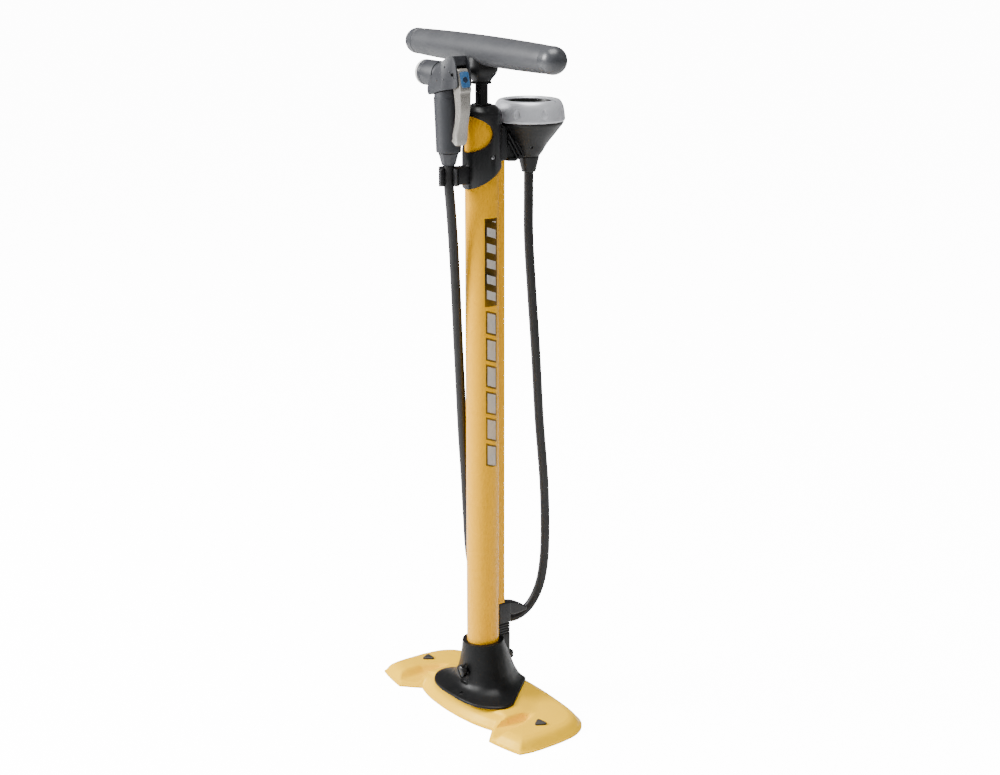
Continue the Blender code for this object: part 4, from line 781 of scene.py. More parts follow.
@dataclass
class Foot:
    """The winged plate, the boot and what shows on them."""

    low: float = 0.0008
    top: float = 0.0125
    under_flange: float = 0.0161
    pitch: float = 0.0012
    boot_r: float = 0.0206
    bore_r: float = 0.0163
    screw_z: float = 0.040
    screw_face: float = -0.0295
    screw_head_r: float = 0.0065
    plug_x: float = 0.0955
    plug_y: float = -0.0015
    front: list[Point2] = field(default_factory=lambda: [
        (0.0000, -0.0425), (0.0155, -0.0420), (0.0372, -0.0397), (0.0520, -0.0362),
        (0.0605, -0.0335)])
    wing_tip: list[Point2] = field(default_factory=lambda: [
        (0.0777, -0.0499), (0.0880, -0.0486), (0.0980, -0.0470), (0.1080, -0.0450)])
    wing_end: list[Point2] = field(default_factory=lambda: [
        (0.1173, -0.0425), (0.1200, -0.0300), (0.1207, -0.0140), (0.1200, 0.0070),
        (0.1168, 0.0250), (0.1090, 0.0390), (0.0970, 0.0480), (0.0800, 0.0525),
        (0.0560, 0.0555), (0.0280, 0.0578), (0.0000, 0.0585)])
    flange: list[Point2] = field(default_factory=lambda: [
        (0.0000, -0.0390), (0.0180, -0.0383), (0.0340, -0.0350), (0.0450, -0.0287),
        (0.0525, -0.0203), (0.0555, -0.0112), (0.0535, -0.0020)])
    flange_side: list[Point2] = field(default_factory=lambda: [
        (0.0400, 0.0135), (0.0260, 0.0293), (0.0140, 0.0430), (0.0095, 0.0450),
        (0.0000, 0.0455)])

    def plate_outline(self) -> list[Point2]:
        """The plate's whole outline, smooth but for the notch corners."""
        half = [tuple(p) for p in smooth_path(self.front, 6)]
        half += [tuple(p) for p in smooth_path(self.wing_tip, 4)]
        half += [tuple(p) for p in smooth_path(self.wing_end, 8)]
        return both_sides(half)

    def flange_outline(self) -> list[Point2]:
        """The boot flange's whole outline, smooth but for the straight sides' ends."""
        half = [tuple(p) for p in smooth_path(self.flange, 6)]
        half += [tuple(p) for p in smooth_path(self.flange_side, 5)]
        return both_sides(half)

    def build(self) -> None:
        """Build every piece of the foot."""
        self.plate()
        self.boot()
        self.clamp_screw()
        self.plugs()

    def heights(self, points: np.ndarray) -> np.ndarray:
        """Height of the plate's top surface over points of the floor."""
        edge = outline_reach(points, self.plate_outline())
        seat = -outline_reach(points, self.flange_outline())
        x, y = np.abs(points[:, 0]), points[:, 1]
        rise = self.under_flange - self.top
        crown = self.top + rise * (1.0 - ease(seat, 0.0005, 0.0230))
        crown = np.where(seat < 0.0005, self.under_flange, crown)
        crown += 0.0010 * ease(x, 0.060, 0.090) * ease(edge, 0.004, 0.030)
        notch_wing = np.interp(y, [-0.050, -0.040, -0.034, -0.0176, 0.0055],
                               [0.0925, 0.0905, 0.0895, 0.0885, 0.0790])
        notch_body = np.interp(y, [-0.050, -0.0347, -0.0213, -0.0024, 0.008],
                               [0.0590, 0.0622, 0.0662, 0.0668, 0.0700])
        from_body = np.clip((x - notch_body) / 0.0042, 0.0, 1.0)
        from_wing = np.clip((notch_wing - x) / 0.0100, 0.0, 1.0)
        dip = ease(from_body, 0.0, 1.0) * ease(from_wing, 0.0, 1.0)
        dip *= ease(0.0105 - y, 0.0, 0.0130)
        floor = 0.0056 + 0.0012 * ease(y, -0.045, 0.0)
        crown = crown * (1.0 - dip) + floor * dip
        lip = 0.0026
        skirt = np.interp(edge, [-0.01, 0.0004, 0.0011, 0.0046, 0.0062, 0.0085, 0.0120],
                          [lip, lip, lip + 0.0004, 0.0080, 0.0098, 0.0114, 0.0126])
        skirt = np.where(edge > 0.0120, 0.0126 + (edge - 0.0120) * 1.2, skirt)
        sharpness = 0.0005
        low = np.minimum(crown, skirt)
        gap = np.abs(crown - skirt)
        return low - sharpness * np.exp(-gap / sharpness) * 0.5

    def plate(self) -> None:
        """The winged plate: its moulded top, skirt, notches and the seats underneath."""
        bm = bmesh.new()
        across, deep = 0.1225, 0.056
        bmesh.ops.create_grid(bm, x_segments=int(2 * across / self.pitch),
                              y_segments=int(2 * deep / self.pitch), size=1.0)
        bm.transform(Matrix.Translation((0, 0.0045, 0)) @ Matrix.Diagonal((across, deep, 1, 1)))
        bm.verts.ensure_lookup_table()
        spots = np.array([v.co[:2] for v in bm.verts])
        for vert, height in zip(bm.verts, self.heights(spots)):
            vert.co.z = height
        grown = bmesh.ops.extrude_face_region(bm, geom=list(bm.faces))["geom"]
        for item in grown:
            if isinstance(item, bmesh.types.BMVert):
                item.co.z = -0.010
        heal(bm)
        outline = slab(self.plate_outline(), self.low, 0.030)
        cutters = [bar(0.0164, -0.02, 0.03, 96)]
        for side in (1.0, -1.0):
            cutters.append(laid(bar(0.0104, -0.02, 0.0100, 64), at=(side * self.plug_x, self.plug_y, 0)))
            cutters.append(laid(bar(0.0033, -0.02, 0.03, 32), at=(side * self.plug_x, self.plug_y, 0)))
            for low, high in (((0.0220, -0.0240, -0.02), (0.0490, 0.0330, 0.0080)),
                              ((0.0570, 0.0120, -0.02), (0.0980, 0.0390, 0.0080))):
                corners = (side * low[0], side * high[0])
                pocket = block((min(corners), low[1], low[2]), (max(corners), high[1], high[2]))
                cutters.append(soften(pocket, 0.003, 4))
        bm = combined(bm, [outline], "INTERSECT")
        bm = combined(bm, cutters)
        stands_for("foot_plate", bm, Palette.PLATE_PAINT, "base_plate", 38.0)

    def boot_ring(self, z: float) -> list[Point3]:
        """One level of the boot, between its round neck and its flange outline."""
        front = np.interp(z, [0.0168, 0.0184, 0.0192, 0.0205, 0.0235, 0.0280, 0.0345, 0.0442,
                              0.0571, 0.0685],
                          [1.0, 0.99, 0.95, 0.74, 0.39, 0.20, 0.11, 0.055, 0.015, 0.0])
        back = np.interp(z, [0.0168, 0.0184, 0.0192, 0.0215, 0.0262, 0.0342, 0.0442, 0.0537,
                             0.0620, 0.0685],
                         [1.0, 1.0, 0.975, 0.86, 0.70, 0.53, 0.38, 0.24, 0.10, 0.0])
        ring = []
        for x, y in self.flange_outline():
            edge = Vector((x, y))
            behind = 0.5 + 0.5 * edge.normalized().y
            share = front + (back - front) * behind
            spot = (edge.normalized() * self.boot_r).lerp(edge, share)
            ring.append((spot.x, spot.y, z))
        return ring

    def boot(self) -> None:
        """The flared boot with its collar lip, front recess and small flange screw."""
        levels = [0.0168, 0.0184, 0.0188, 0.0192, 0.0198, 0.0205, 0.0214, 0.0225, 0.0240]
        levels += [0.0240 + 0.0420 * (i / 26.0) for i in range(1, 27)]
        levels += [0.0672, 0.0680, 0.0685]
        bm = bmesh.new()
        first = self.boot_ring(levels[0])
        face = bm.faces.new([bm.verts.new(p) for p in first])
        ring = list(face.edges)
        for z in levels[1:]:
            grown = bmesh.ops.extrude_edge_only(bm, edges=ring)["geom"]
            ring = [item for item in grown if isinstance(item, bmesh.types.BMEdge)
                    and len(item.link_faces) == 1]
            verts = [item for item in grown if isinstance(item, bmesh.types.BMVert)]
            target = self.boot_ring(z)
            before = self.boot_ring(levels[levels.index(z) - 1])
            spots = {tuple(round(c, 6) for c in p[:2]): p2 for p, p2 in zip(before, target)}
            for vert in verts:
                vert.co = spots[tuple(round(c, 6) for c in vert.co[:2])]
        bmesh.ops.holes_fill(bm, edges=ring)
        heal(bm)
        groove = laid(bar(0.0088, 0.0268, 0.0610, 48), at=(0.0010, -0.0300, 0.0))
        seat = laid(bar(0.0028, -0.060, 0.0, 24), Axis.Y, (0, 0, self.screw_z))
        step = laid(bar(0.0056, -0.060, -0.0200, 40), Axis.Y, (0, 0, self.screw_z))
        fitting = block((-0.0060, 0.016, 0.0396), (0.0060, 0.0285, 0.0800))
        hole = laid(bar(0.0026, 0.0192, 0.0300, 28), at=(0.0080, -0.0325, 0.0))
        bm = combined(bm, [bar(self.bore_r, 0.0297, 0.0800, 96), soften(groove, 0.0015, 3),
                           seat, step, soften(fitting, 0.0006, 2), soften(hole, 0.0004, 2)])
        soften(bm, 0.0005, 3, 40.0)
        stands_for("flared_boot", bm, Palette.BOOT, "boot", 40.0)
        screw = spun(eased([(0.0, 0.0185), (0.0021, 0.0185), (0.0021, 0.0205), (0.0, 0.0208)],
                           0.0004, 3), 32)
        screw = combined(screw, [block((-0.003, -0.0003, 0.0201), (0.003, 0.0003, 0.03))])
        finished("flange_screw_head", laid(screw, at=(0.0080, -0.0325, 0.0)), Palette.BLACK, ["boot"])

    def clamp_screw(self) -> None:
        """The slotted screw in the boot's front recess, with a knurled rim."""
        face = self.screw_face
        profile = [(0.0, face), (0.0050, face), (self.screw_head_r, face + 0.0010),
                   (self.screw_head_r, face + 0.0055), (0.0025, face + 0.0055), (0.0025, -0.0105),
                   (0.0, -0.0105)]
        bm = spun(eased(profile, 0.0006, 4), 72)
        slot = block((-0.0075, -0.0008, face - 0.002), (0.0075, 0.0008, face + 0.0016))
        slot.transform(Matrix.Rotation(math.radians(55.0), 4, "Z"))
        notches = [slot]
        for i in range(6):
            notch = laid(bar(0.0012, face + 0.0012, face + 0.007, 16), at=(0.0071, 0, 0))
            notch.transform(Matrix.Rotation(math.radians(60.0 * i), 4, "Z"))
            notches.append(notch)
        bm = combined(bm, notches)
        soften(bm, 0.00025, 2, 40.0)
        stands_for("slotted_clamp_screw", laid(bm, Axis.Y, (0, 0, self.screw_z)), Palette.BLACK,
                   "clamp_screw")

    def plugs(self) -> None:
        """Rubber feet: the pad below, the stem, and the three-cornered plug on top."""
        for side, node, name in ((1.0, "wing_foot_right", "right_foot_plug"),
                                 (-1.0, "wing_foot_left", "left_foot_plug")):
            pad = spun(eased([(0.0, 0.0), (0.0100, 0.0), (0.0100, 0.0097), (0.0030, 0.0097),
                              (0.0030, 0.0135), (0.0, 0.0135)], 0.0007, 3), 64)
            ribs = [spun([(r, -0.001), (r + 0.0007, -0.001), (r + 0.0007, 0.0005), (r, 0.0005)],
                         64, True) for r in (0.0030, 0.0052, 0.0074)]
            pad = combined(pad, ribs)
            corners = [(0.0086 * math.cos(a), 0.0080 * math.sin(a))
                       for a in (math.radians(90 - 54 * side + 120 * i) for i in range(3))]
            head = slab(eased(corners, 0.0040, 8, True), 0.0132, 0.0150)
            top = [f for f in head.faces if f.normal.z > 0.9]
            bmesh.ops.inset_region(head, faces=top, thickness=0.0016, use_even_offset=True)
            top = [f for f in head.faces if f.normal.z > 0.9 and f.calc_area() > 2e-6]
            biggest = max(top, key=lambda f: f.calc_area())
            bmesh.ops.translate(head, verts=list(biggest.verts), vec=(0, 0, 0.0008))
            soften(head, 0.0005, 3, 15.0)
            both = combined(pad, [head], "UNION")
            stands_for(name, laid(both, at=(side * self.plug_x, self.plug_y, 0)), Palette.RUBBER,
                       node)


# ------------------------------------------------------------------ barrel and hose fitting
@dataclass
class Barrel:
    """The painted tube with its air-channel rib, and the ribbed fitting with the hose hook."""

    radius: float = 0.016
    bore: float = 0.0145
    low: float = 0.030
    top: float = 0.5905
    rib_half: float = 0.005
    rib_face: float = 0.0238
    rib_low: float = 0.103
    rib_top: float = 0.560
    fitting_half: float = 0.0058

    def build(self) -> None:
        """Build the tube and the fitting."""
        self.tube()
        self.fitting()

    def tube(self) -> None:
        """The tube, with the rib joined on and both ends open."""
        bm = spun(eased([(self.bore, self.low), (self.radius, self.low), (self.radius, self.top),
                         (self.bore, self.top)], 0.0004, 3, True), 128, True)
        rib = [(-self.rib_half, 0.0150), (self.rib_half, 0.0150), (self.rib_half, self.rib_face),
               (-self.rib_half, self.rib_face)]
        rail = slab(rib, self.rib_low, self.rib_top)
        soften(rail, 0.0016, 5, 30.0, lambda e: min(v.co.y for v in e.verts) > 0.02)
        bm = combined(bm, [rail], "UNION")
        bm = combined(bm, [laid(bar(0.0018, 0.05, 0.6, 24), at=(0, 0.0199, 0)),
                           bar(self.bore, 0.01, 0.7, 128),
                           laid(bar(0.0028, -0.03, -0.005, 24), Axis.Y, (0, 0, 0.040))])
        stands_for("painted_barrel", bm, Palette.BARREL_PAINT, "barrel", 40.0)

    def fitting(self) -> None:
        """The ribbed column behind the boot, its top block and the hook over the hose."""
        half = self.fitting_half
        column = block((-half, 0.0163, 0.0400), (half, 0.0300, 0.0805))
        soften(column, 0.0012, 3)
        head = block((-half, 0.0163, 0.0800), (half, 0.0306, 0.1027))
        soften(head, 0.0014, 3)
        line = [(0.0285, 0.1020), (0.0340, 0.1012), (0.0400, 0.0990), (0.0470, 0.0952),
                (0.0510, 0.0920), (0.0522, 0.0900), (0.0515, 0.0885), (0.0490, 0.0878),
                (0.0440, 0.0872), (0.0370, 0.0874), (0.0285, 0.0895)]
        hook = slab([tuple(p) for p in smooth_path([(y, z) for y, z in line], 3)], -0.0050, 0.0050)
        hook.transform(Matrix(((0, 0, 1, 0), (1, 0, 0, 0), (0, 1, 0, 0), (0, 0, 0, 1))))
        heal(hook)
        soften(hook, 0.0018, 4, 50.0)
        lump = block((-half + 0.0004, 0.0290, 0.0402), (half - 0.0004, 0.0352, 0.0490))
        soften(lump, 0.0022, 4)
        bm = combined(column, [head, hook, lump], "UNION")
        cutters = []
        for step in range(5):
            z = 0.0690 + step * 0.0027
            ring = block((-0.02, 0.0290, z), (0.02, 0.04, z + 0.0013))
            cutters.append(ring)
            for side in (1.0, -1.0):
                ends = (side * (half - 0.0012), side * 0.02)
                cutters.append(block((min(ends), 0.01, z), (max(ends), 0.04, z + 0.0013)))
        cutters.append(laid(bar(0.0018, 0.044, 0.2, 24), at=(0, 0.0199, 0)))
        bm = combined(bm, cutters)
        soften(bm, 0.00025, 2, 50.0)
        stands_for("hose_hook_fitting", bm, Palette.BLACK, "foot_fitting", 35.0)


# ------------------------------------------------------------------ cap, clip and arm
@dataclass
class TopCap:
    """The black cap with its leaf-shaped window, the hose clip and the gauge arm."""

    bore: float = 0.0163
    radius: float = 0.0185
    shoulder: float = 0.5940
    crown: float = 0.5995
    skirt_front: float = 0.5230
    skirt_rise: float = 0.0112
    window_z: float = 0.5742
    window_half: float = 0.0170
    window_reach: float = 91.0
    screw_z: float = 0.5530
    screw_r: float = 0.0022
    crown_hole: float = 0.0089
    clip_y: float = -0.0375
    clip_low: float = 0.5275
    clip_top: float = 0.5455
    clip_bore: float = 0.0054
    clip_r: float = 0.0094
    arm_start: float = 0.0260

    def build(self) -> None:
        """Build the cap, its screws, the clip and the arm."""
        self.cap()
        self.screws()
        self.clip()
        self.arm()

    def window(self) -> bmesh.types.BMesh:
        """The opening's cutter: a leaf wrapped half way round the front."""
        steps = 72
        bm = bmesh.new()
        rows = []
        for i in range(steps + 1):
            turn = -self.window_reach + 2.0 * self.window_reach * i / steps
            fullness = max(math.cos(math.radians(turn * 90.0 / self.window_reach)), 0.0)
            half = max(self.window_half * fullness ** 0.5, 0.0002)
            angle = math.radians(-90.0 + turn)
            rows.append([bm.verts.new((r * math.cos(angle), r * math.sin(angle), self.window_z + z))
                         for r, z in ((0.0100, -half), (0.0240, -half), (0.0240, half),
                                      (0.0100, half))])
        loops = []
        for row in rows:
            edges = [bm.edges.new((row[k], row[(k + 1) % 4])) for k in range(4)]
            loops.append(edges)
        for here, there in zip(loops, loops[1:]):
            bmesh.ops.bridge_loops(bm, edges=here + there)
        bmesh.ops.holes_fill(bm, edges=loops[0] + loops[-1])
        return heal(bm)

    def cap(self) -> None:
        """The cap: a slanted sleeve, a domed crown, a spine over the rib and the window."""
        profile = [(self.bore, 0.500), (self.radius, 0.500), (self.radius, self.shoulder),
                   (self.radius - 0.0042, self.crown - 0.0014), (0.0125, self.crown),
                   (self.crown_hole, self.crown), (self.crown_hole, 0.5908), (self.bore, 0.5908)]
        bm = spun(eased(profile, 0.0022, 5, True), 144, True)
        spine_face = 0.0257
        spine = block((-0.0069, 0.0150, 0.5465), (0.0069, spine_face, 0.5795))
        soften(spine, 0.0022, 4)
        bm = combined(bm, [spine], "UNION")
        skirt = bmesh.new()
        bmesh.ops.create_cube(skirt, size=1.0)
        slant = math.atan(self.skirt_rise / self.radius)
        skirt.transform(Matrix.Translation((0, 0, self.skirt_front + self.skirt_rise))
                        @ Matrix.Rotation(slant, 4, "X")
                        @ Matrix.Translation((0, 0, -0.05)) @ Matrix.Diagonal((0.12, 0.12, 0.1, 1)))
        rib = block((-0.0053, 0.005, 0.5), (0.0053, 0.0241, 0.5603))
        bm = combined(bm, [heal(skirt), self.window(), rib, cone_room(),
                           laid(bar(0.0015, 0.0199, 0.040, 24), Axis.Y, (0, 0, 0.5640))])
        screw_seats = []
        for side in (1.0, -1.0):
            ends = sorted((side * 0.0172, side * 0.03))
            screw_seats.append(laid(bar(self.screw_r + 0.0004, *ends, 36), Axis.X,
                                    (0, 0, self.screw_z)))
            ends = sorted((side * 0.010, side * 0.03))
            screw_seats.append(laid(bar(0.0015, *ends, 24), Axis.X, (0, 0, self.screw_z)))
        bm = combined(bm, screw_seats)
        soften(bm, 0.0005, 3, 38.0, lambda e: min(Vector(v.co.xy).length for v in e.verts) > 0.0172)
        stands_for("window_cap", bm, Palette.BLACK, "top_cap", 35.0)

    def screws(self) -> None:
        """Bright screws with a cross recess, one on each side."""
        for side, node, name in ((1.0, "cap_screw_right", "right_cap_screw"),
                                 (-1.0, "cap_screw_left", "left_cap_screw")):
            profile = [(0.0, 0.0148), (0.00121, 0.0148), (0.00121, 0.0174), (self.screw_r, 0.0174),
                       (self.screw_r, 0.0180), (0.0012, 0.0184), (0.0, 0.0184)]
            bm = spun(eased(profile, 0.0003, 3), 40)
            cross = [block((-0.0013, -0.00025, 0.0178), (0.0013, 0.00025, 0.02)),
                     block((-0.00025, -0.0013, 0.0178), (0.00025, 0.0013, 0.02))]
            bm = combined(bm, cross)
            bm = laid(bm, Axis.X, (0, 0, self.screw_z))
            if side < 0.0:
                bm.transform(Matrix.Rotation(math.pi, 4, "Z"))
            stands_for(name, bm, Palette.STEEL, node)

    def clip(self) -> None:
        """The hose clip: a sprung ring with two round ears, on an arm from the cap."""
        mouth = math.radians(48.0)
        heading = math.radians(-35.0)
        steps = 48
        outer, inner = [], []
        for i in range(steps + 1):
            angle = mouth + (FULL_TURN - 2.0 * mouth) * i / steps
            swell = 1.0 + 0.05 * math.cos(angle)
            turned = angle + heading
            reach = self.clip_r * swell
            outer.append((reach * math.cos(turned), reach * math.sin(turned)))
            inner.append((self.clip_bore * math.cos(turned), self.clip_bore * math.sin(turned)))
        low, top = self.clip_low, self.clip_top
        bm = slab(outer + inner[::-1], low, top)
        bm.transform(Matrix.Translation((0, self.clip_y, 0)))
        middle = (low + top) / 2
        ears = laid(bar(0.0091, -0.0300, 0.0300, 72), Axis.Y)
        room = block((-0.0240, -0.0300, low - middle), (0.0000, 0.0300, top - middle))
        keep = combined(ears, [room], "UNION")
        keep.transform(Matrix.Translation((0.0, self.clip_y, middle))
                       @ Matrix.Rotation(heading, 4, "Z"))
        bm = combined(bm, [keep], "INTERSECT")
        arm = block((-0.0055, self.clip_y + 0.0069, low + 0.0006), (0.0055, -0.0120, top - 0.0006))
        soften(arm, 0.0014, 4, 30.0)
        bm = combined(bm, [arm], "UNION")
        bm = combined(bm, [bar(self.radius + GAP, 0.4, 0.7, 128)])
        soften(bm, 0.0006, 3, 40.0)
        stands_for("hose_clip_ring", bm, Palette.BLACK, "hose_clip", 35.0)

    def arm(self) -> None:
        """The arm from the cap's spine to the gauge, with slanted fins on both sides."""
        side_view = [(self.arm_start, 0.5458), (0.0340, 0.5452), (0.0420, 0.5482), (0.0480, 0.5500),
                     (0.0560, 0.5510), (0.0560, 0.5765), (self.arm_start, 0.5765)]
        core = slab(side_view, -0.0042, 0.0042)
        swap = Matrix(((0, 0, 1, 0), (1, 0, 0, 0), (0, 1, 0, 0), (0, 0, 0, 1)))
        core.transform(swap)
        heal(core)
        fins = []
        for i in range(5):
            fin = block((-0.0066, -0.0009, -0.0210), (0.0066, 0.0009, 0.0210))
            soften(fin, 0.0004, 2)
            fin.transform(Matrix.Translation((0, self.arm_start + 0.0030 + 0.0042 * i, 0.5610))
                          @ Matrix.Rotation(math.radians(32.0), 4, "X"))
            fins.append(fin)
        frame_bar = slab([(self.arm_start, 0.5458), (0.0340, 0.5452), (0.0420, 0.5482),
                          (0.0480, 0.5500), (0.0560, 0.5510), (0.0560, 0.5534), (0.0470, 0.5524),
                          (0.0340, 0.5480), (self.arm_start, 0.5484)], -0.0066, 0.0066)
        frame_bar.transform(swap)
        heal(frame_bar)
        hull = slab(side_view, -0.0066, 0.0066)
        hull.transform(swap)
        heal(hull)
        bm = combined(core, [*fins, frame_bar], "UNION")
        bm = combined(bm, [hull], "INTERSECT")
        bm = combined(bm, [cone_room(), laid(bar(0.0015, 0.010, 0.060, 20), Axis.Y, (0, 0, 0.5640))])
        soften(bm, 0.0003, 2, 50.0)
        stands_for("finned_gauge_arm", bm, Palette.BLACK, "gauge_arm", 35.0)


GAUGE_AXIS = (0.0, 0.0550, 0.0)


def cone_profile(margin: float = 0.0) -> list[Point2]:
    """The gauge housing's outside, from its stem seam up to its rim."""
    rough = [(0.0100, 0.5478), (0.0109, 0.5492), (0.0122, 0.5508), (0.0142, 0.5540),
             (0.0170, 0.5588), (0.0208, 0.5640), (0.0250, 0.5692), (0.0295, 0.5750),
             (0.0325, 0.5790), (0.0330, 0.5812)]
    path = [tuple(p) for p in smooth_path(rough, 5)]
    return [(r + margin, z) for r, z in path]


def cone_room() -> bmesh.types.BMesh:
    """The room that the gauge housing needs in the pieces round it."""
    profile = [(0.0, 0.5375), (0.0103, 0.5375), *cone_profile(GAP), (0.0333, 0.62), (0.0, 0.62)]
    return laid(spun(profile, 96), at=GAUGE_AXIS)


# ------------------------------------------------------------------ gauge
@dataclass
class Gauge:
    """The gauge: cone housing, stem, turnable bezel, lens, dial and needle."""

    seat: float = 0.5812
    spigot_r: float = 0.0305
    spigot_top: float = 0.5888
    top: float = 0.6015
    opening_r: float = 0.0235
    bezel_r: float = 0.0342
    lens_t: float = 0.0020
    dial_r: float = 0.0270
    dial_z: float = 0.5830
    barb_r: float = 0.0033
    stem_low: float = 0.5327
    stem_top: float = 0.5475
    cavity: float = 0.5620
    grips: int = 8
    set_screw_z: float = 0.5578
    set_screw_heading: float = -28.0

    def build(self) -> None:
        """Build the gauge from its stem up."""
        self.stem()
        self.housing()
        self.bezel()
        self.lens()
        self.dial()
        self.needle()

    def stem(self) -> None:
        """The short stem that the hose goes into, chamfered at its mouth."""
        profile = [(self.barb_r, self.stem_low), (0.0060, self.stem_low),
                   (0.0068, self.stem_low + 0.0009), (0.0071, self.stem_low + 0.0022),
                   (0.0098, self.stem_top - 0.0012), (0.0100, self.stem_top),
                   (self.barb_r, self.stem_top)]
        stands_for("gauge_stem_sleeve", laid(spun(eased(profile, 0.0006, 4, True), 96, True),
                                             at=GAUGE_AXIS), Palette.CHARCOAL, "gauge_stem")

    def housing(self) -> None:
        """The flared housing with its cavity, air bores and set screw."""
        cavity = [(self.dial_r + GAP, self.spigot_top), (self.dial_r + GAP, self.seat - 0.0010),
                  (0.0205, self.cavity + 0.0080), (0.0125, self.cavity), (0.0, self.cavity)]
        profile = [(0.0, 0.5478), *cone_profile(), (0.0325, self.seat), (self.spigot_r, self.seat),
                   (self.spigot_r, self.spigot_top), *cavity]
        bm = laid(spun(profile, 128), at=GAUGE_AXIS)
        heading = math.radians(self.set_screw_heading)
        bm = combined(bm, [
            laid(bar(self.barb_r, 0.5, 0.5535, 32), at=GAUGE_AXIS),
            laid(bar(0.0015, 0.5, 0.57, 24), at=GAUGE_AXIS),
            laid(bar(0.0015, 0.020, 0.055, 24), Axis.Y, (0, 0, 0.5640)),
            laid(bar(0.0014, 0.0080, 0.030, 24), Axis.X, (0, GAUGE_AXIS[1], self.set_screw_z), heading),
        ])
        stands_for("gauge_cone", bm, Palette.CHARCOAL, "gauge_housing", 35.0)
        screw = spun(eased([(0.0, 0.0085), (0.0012, 0.0085), (0.0012, 0.0135), (0.0, 0.0135)],
                           0.0002, 2), 24)
        socket = spun([(0.0, 0.0120), (0.0006, 0.0120), (0.0006, 0.02), (0.0, 0.02)], 6)
        screw = combined(screw, [socket])
        stands_for("gauge_grub_screw", laid(screw, Axis.X, (0, GAUGE_AXIS[1], self.set_screw_z),
                                            heading), Palette.STEEL, "gauge_set_screw")

    def bezel(self) -> None:
        """The silver ring with teardrop finger grips and a small index notch."""
        lens_top = self.spigot_top + GAP + self.lens_t
        inner = self.spigot_r + 0.0004
        outside = [(0.0334, self.seat + GAP), (self.bezel_r, self.seat + 0.0016),
                   (self.bezel_r, self.seat + 0.0036), (0.0336, self.seat + 0.0090),
                   (0.0325, self.seat + 0.0140), (0.0308, self.top - 0.0026),
                   (0.0290, self.top - 0.0006), (0.0272, self.top)]
        path = [tuple(p) for p in smooth_path(outside, 5)]
        profile = [(inner, self.seat + GAP), *path, (0.0246, self.top - 0.0003),
                   (self.opening_r, self.top - 0.0016), (self.opening_r, lens_top + GAP),
                   (inner, lens_top + GAP)]
        bm = spun(profile, 160, True)
        drops = []
        for i in range(self.grips):
            angle = math.radians(-57.0 + 360.0 * i / self.grips)
            drop = bmesh.new()
            bmesh.ops.create_icosphere(drop, subdivisions=4, radius=1.0)
            for vert in drop.verts:
                pinch = 1.0 - 0.55 * max(vert.co.z, -0.2)
                vert.co = (vert.co.x * 0.0022, vert.co.y * 0.0037 * pinch, vert.co.z * 0.0062)
            heal(drop)
            drop.transform(Matrix.Rotation(angle, 4, "Z")
                           @ Matrix.Translation((0.0347, 0, self.seat + 0.0094))
                           @ Matrix.Rotation(math.radians(-9.0), 4, "Y"))
            drops.append(drop)
        notch = block((-0.0012, 0.0282, self.top - 0.0016), (0.0012, 0.0345, self.top + 0.001))
        notch.transform(Matrix.Rotation(math.radians(-72.0), 4, "Z"))
        drops.append(notch)
        bm = combined(bm, drops)
        soften(bm, 0.00035, 3, 22.0, lambda e: min(Vector(v.co.xy).length for v in e.verts) > 0.0306)
        stands_for("gauge_bezel_ring", laid(bm, at=GAUGE_AXIS), Palette.SATIN, "gauge_bezel", 40.0)
        low = lens_top + GAP
        liner = [(0.0217, low), (0.0232, low), (0.0232, self.top - 0.0022), (0.0226, self.top - 0.0022)]
        bm = spun(eased(liner, 0.0003, 3, True), 128, True)
        stands_for("bezel_dark_liner", laid(bm, at=GAUGE_AXIS), Palette.CHARCOAL, "bezel_inner_ring")

    def lens(self) -> None:
        """The clear lens, slightly crowned."""
        low, high = self.spigot_top + GAP, self.spigot_top + GAP + self.lens_t
        profile = [(0.0, low), (0.0302, low), (0.0302, high), (0.0200, high), (0.0, high)]
        stands_for("clear_lens", laid(spun(eased(profile, 0.0003, 2), 96), at=GAUGE_AXIS),
                   Palette.LENS, "gauge_lens")

    def dial(self) -> None:
        """The dial plate with printed ticks and plain numbers."""
        high = self.dial_z + 0.0008
        profile = [(0.0012, self.dial_z), (self.dial_r, self.dial_z), (self.dial_r, high),
                   (0.0012, high)]
        stands_for("dial_plate", laid(spun(eased(profile, 0.0001, 2, True), 96, True),
                                      at=GAUGE_AXIS), Palette.DIAL, "gauge_dial")
        marks = bmesh.new()
        count = 60
        for i in range(count + 1):
            heading = math.radians(-135.0 - 270.0 * i / count)
            long_one = i % 5 == 0
            tick = block((0.0170 if long_one else 0.0182, -0.00018 if long_one else -0.0001, high),
                         (0.0202, 0.00018 if long_one else 0.0001, high + 0.00008))
            tick.transform(Matrix.Rotation(heading, 4, "Z"))
            merge(marks, tick)
        for i in range(7):
            heading = math.radians(-135.0 - 45.0 * i)
            text = bpy.data.curves.new("number", "FONT")
            text.body = str(i * 2)
            text.size = 0.0042
            text.align_x = "CENTER"
            text.align_y = "CENTER"
            text.extrude = 0.00004
            holder = bpy.data.objects.new("number", text)
            bpy.context.collection.objects.link(holder)
            made = holder.evaluated_get(bpy.context.evaluated_depsgraph_get()).to_mesh()
            number = bmesh.new()
            number.from_mesh(made)
            bpy.data.objects.remove(holder, do_unlink=True)
            number.transform(Matrix.Translation((0.0142 * math.cos(heading),
                                                 0.0142 * math.sin(heading), high + 0.00004)))
            merge(marks, heal(number))
        finished("dial_print", laid(marks, at=GAUGE_AXIS), Palette.INK, ["gauge_dial"])

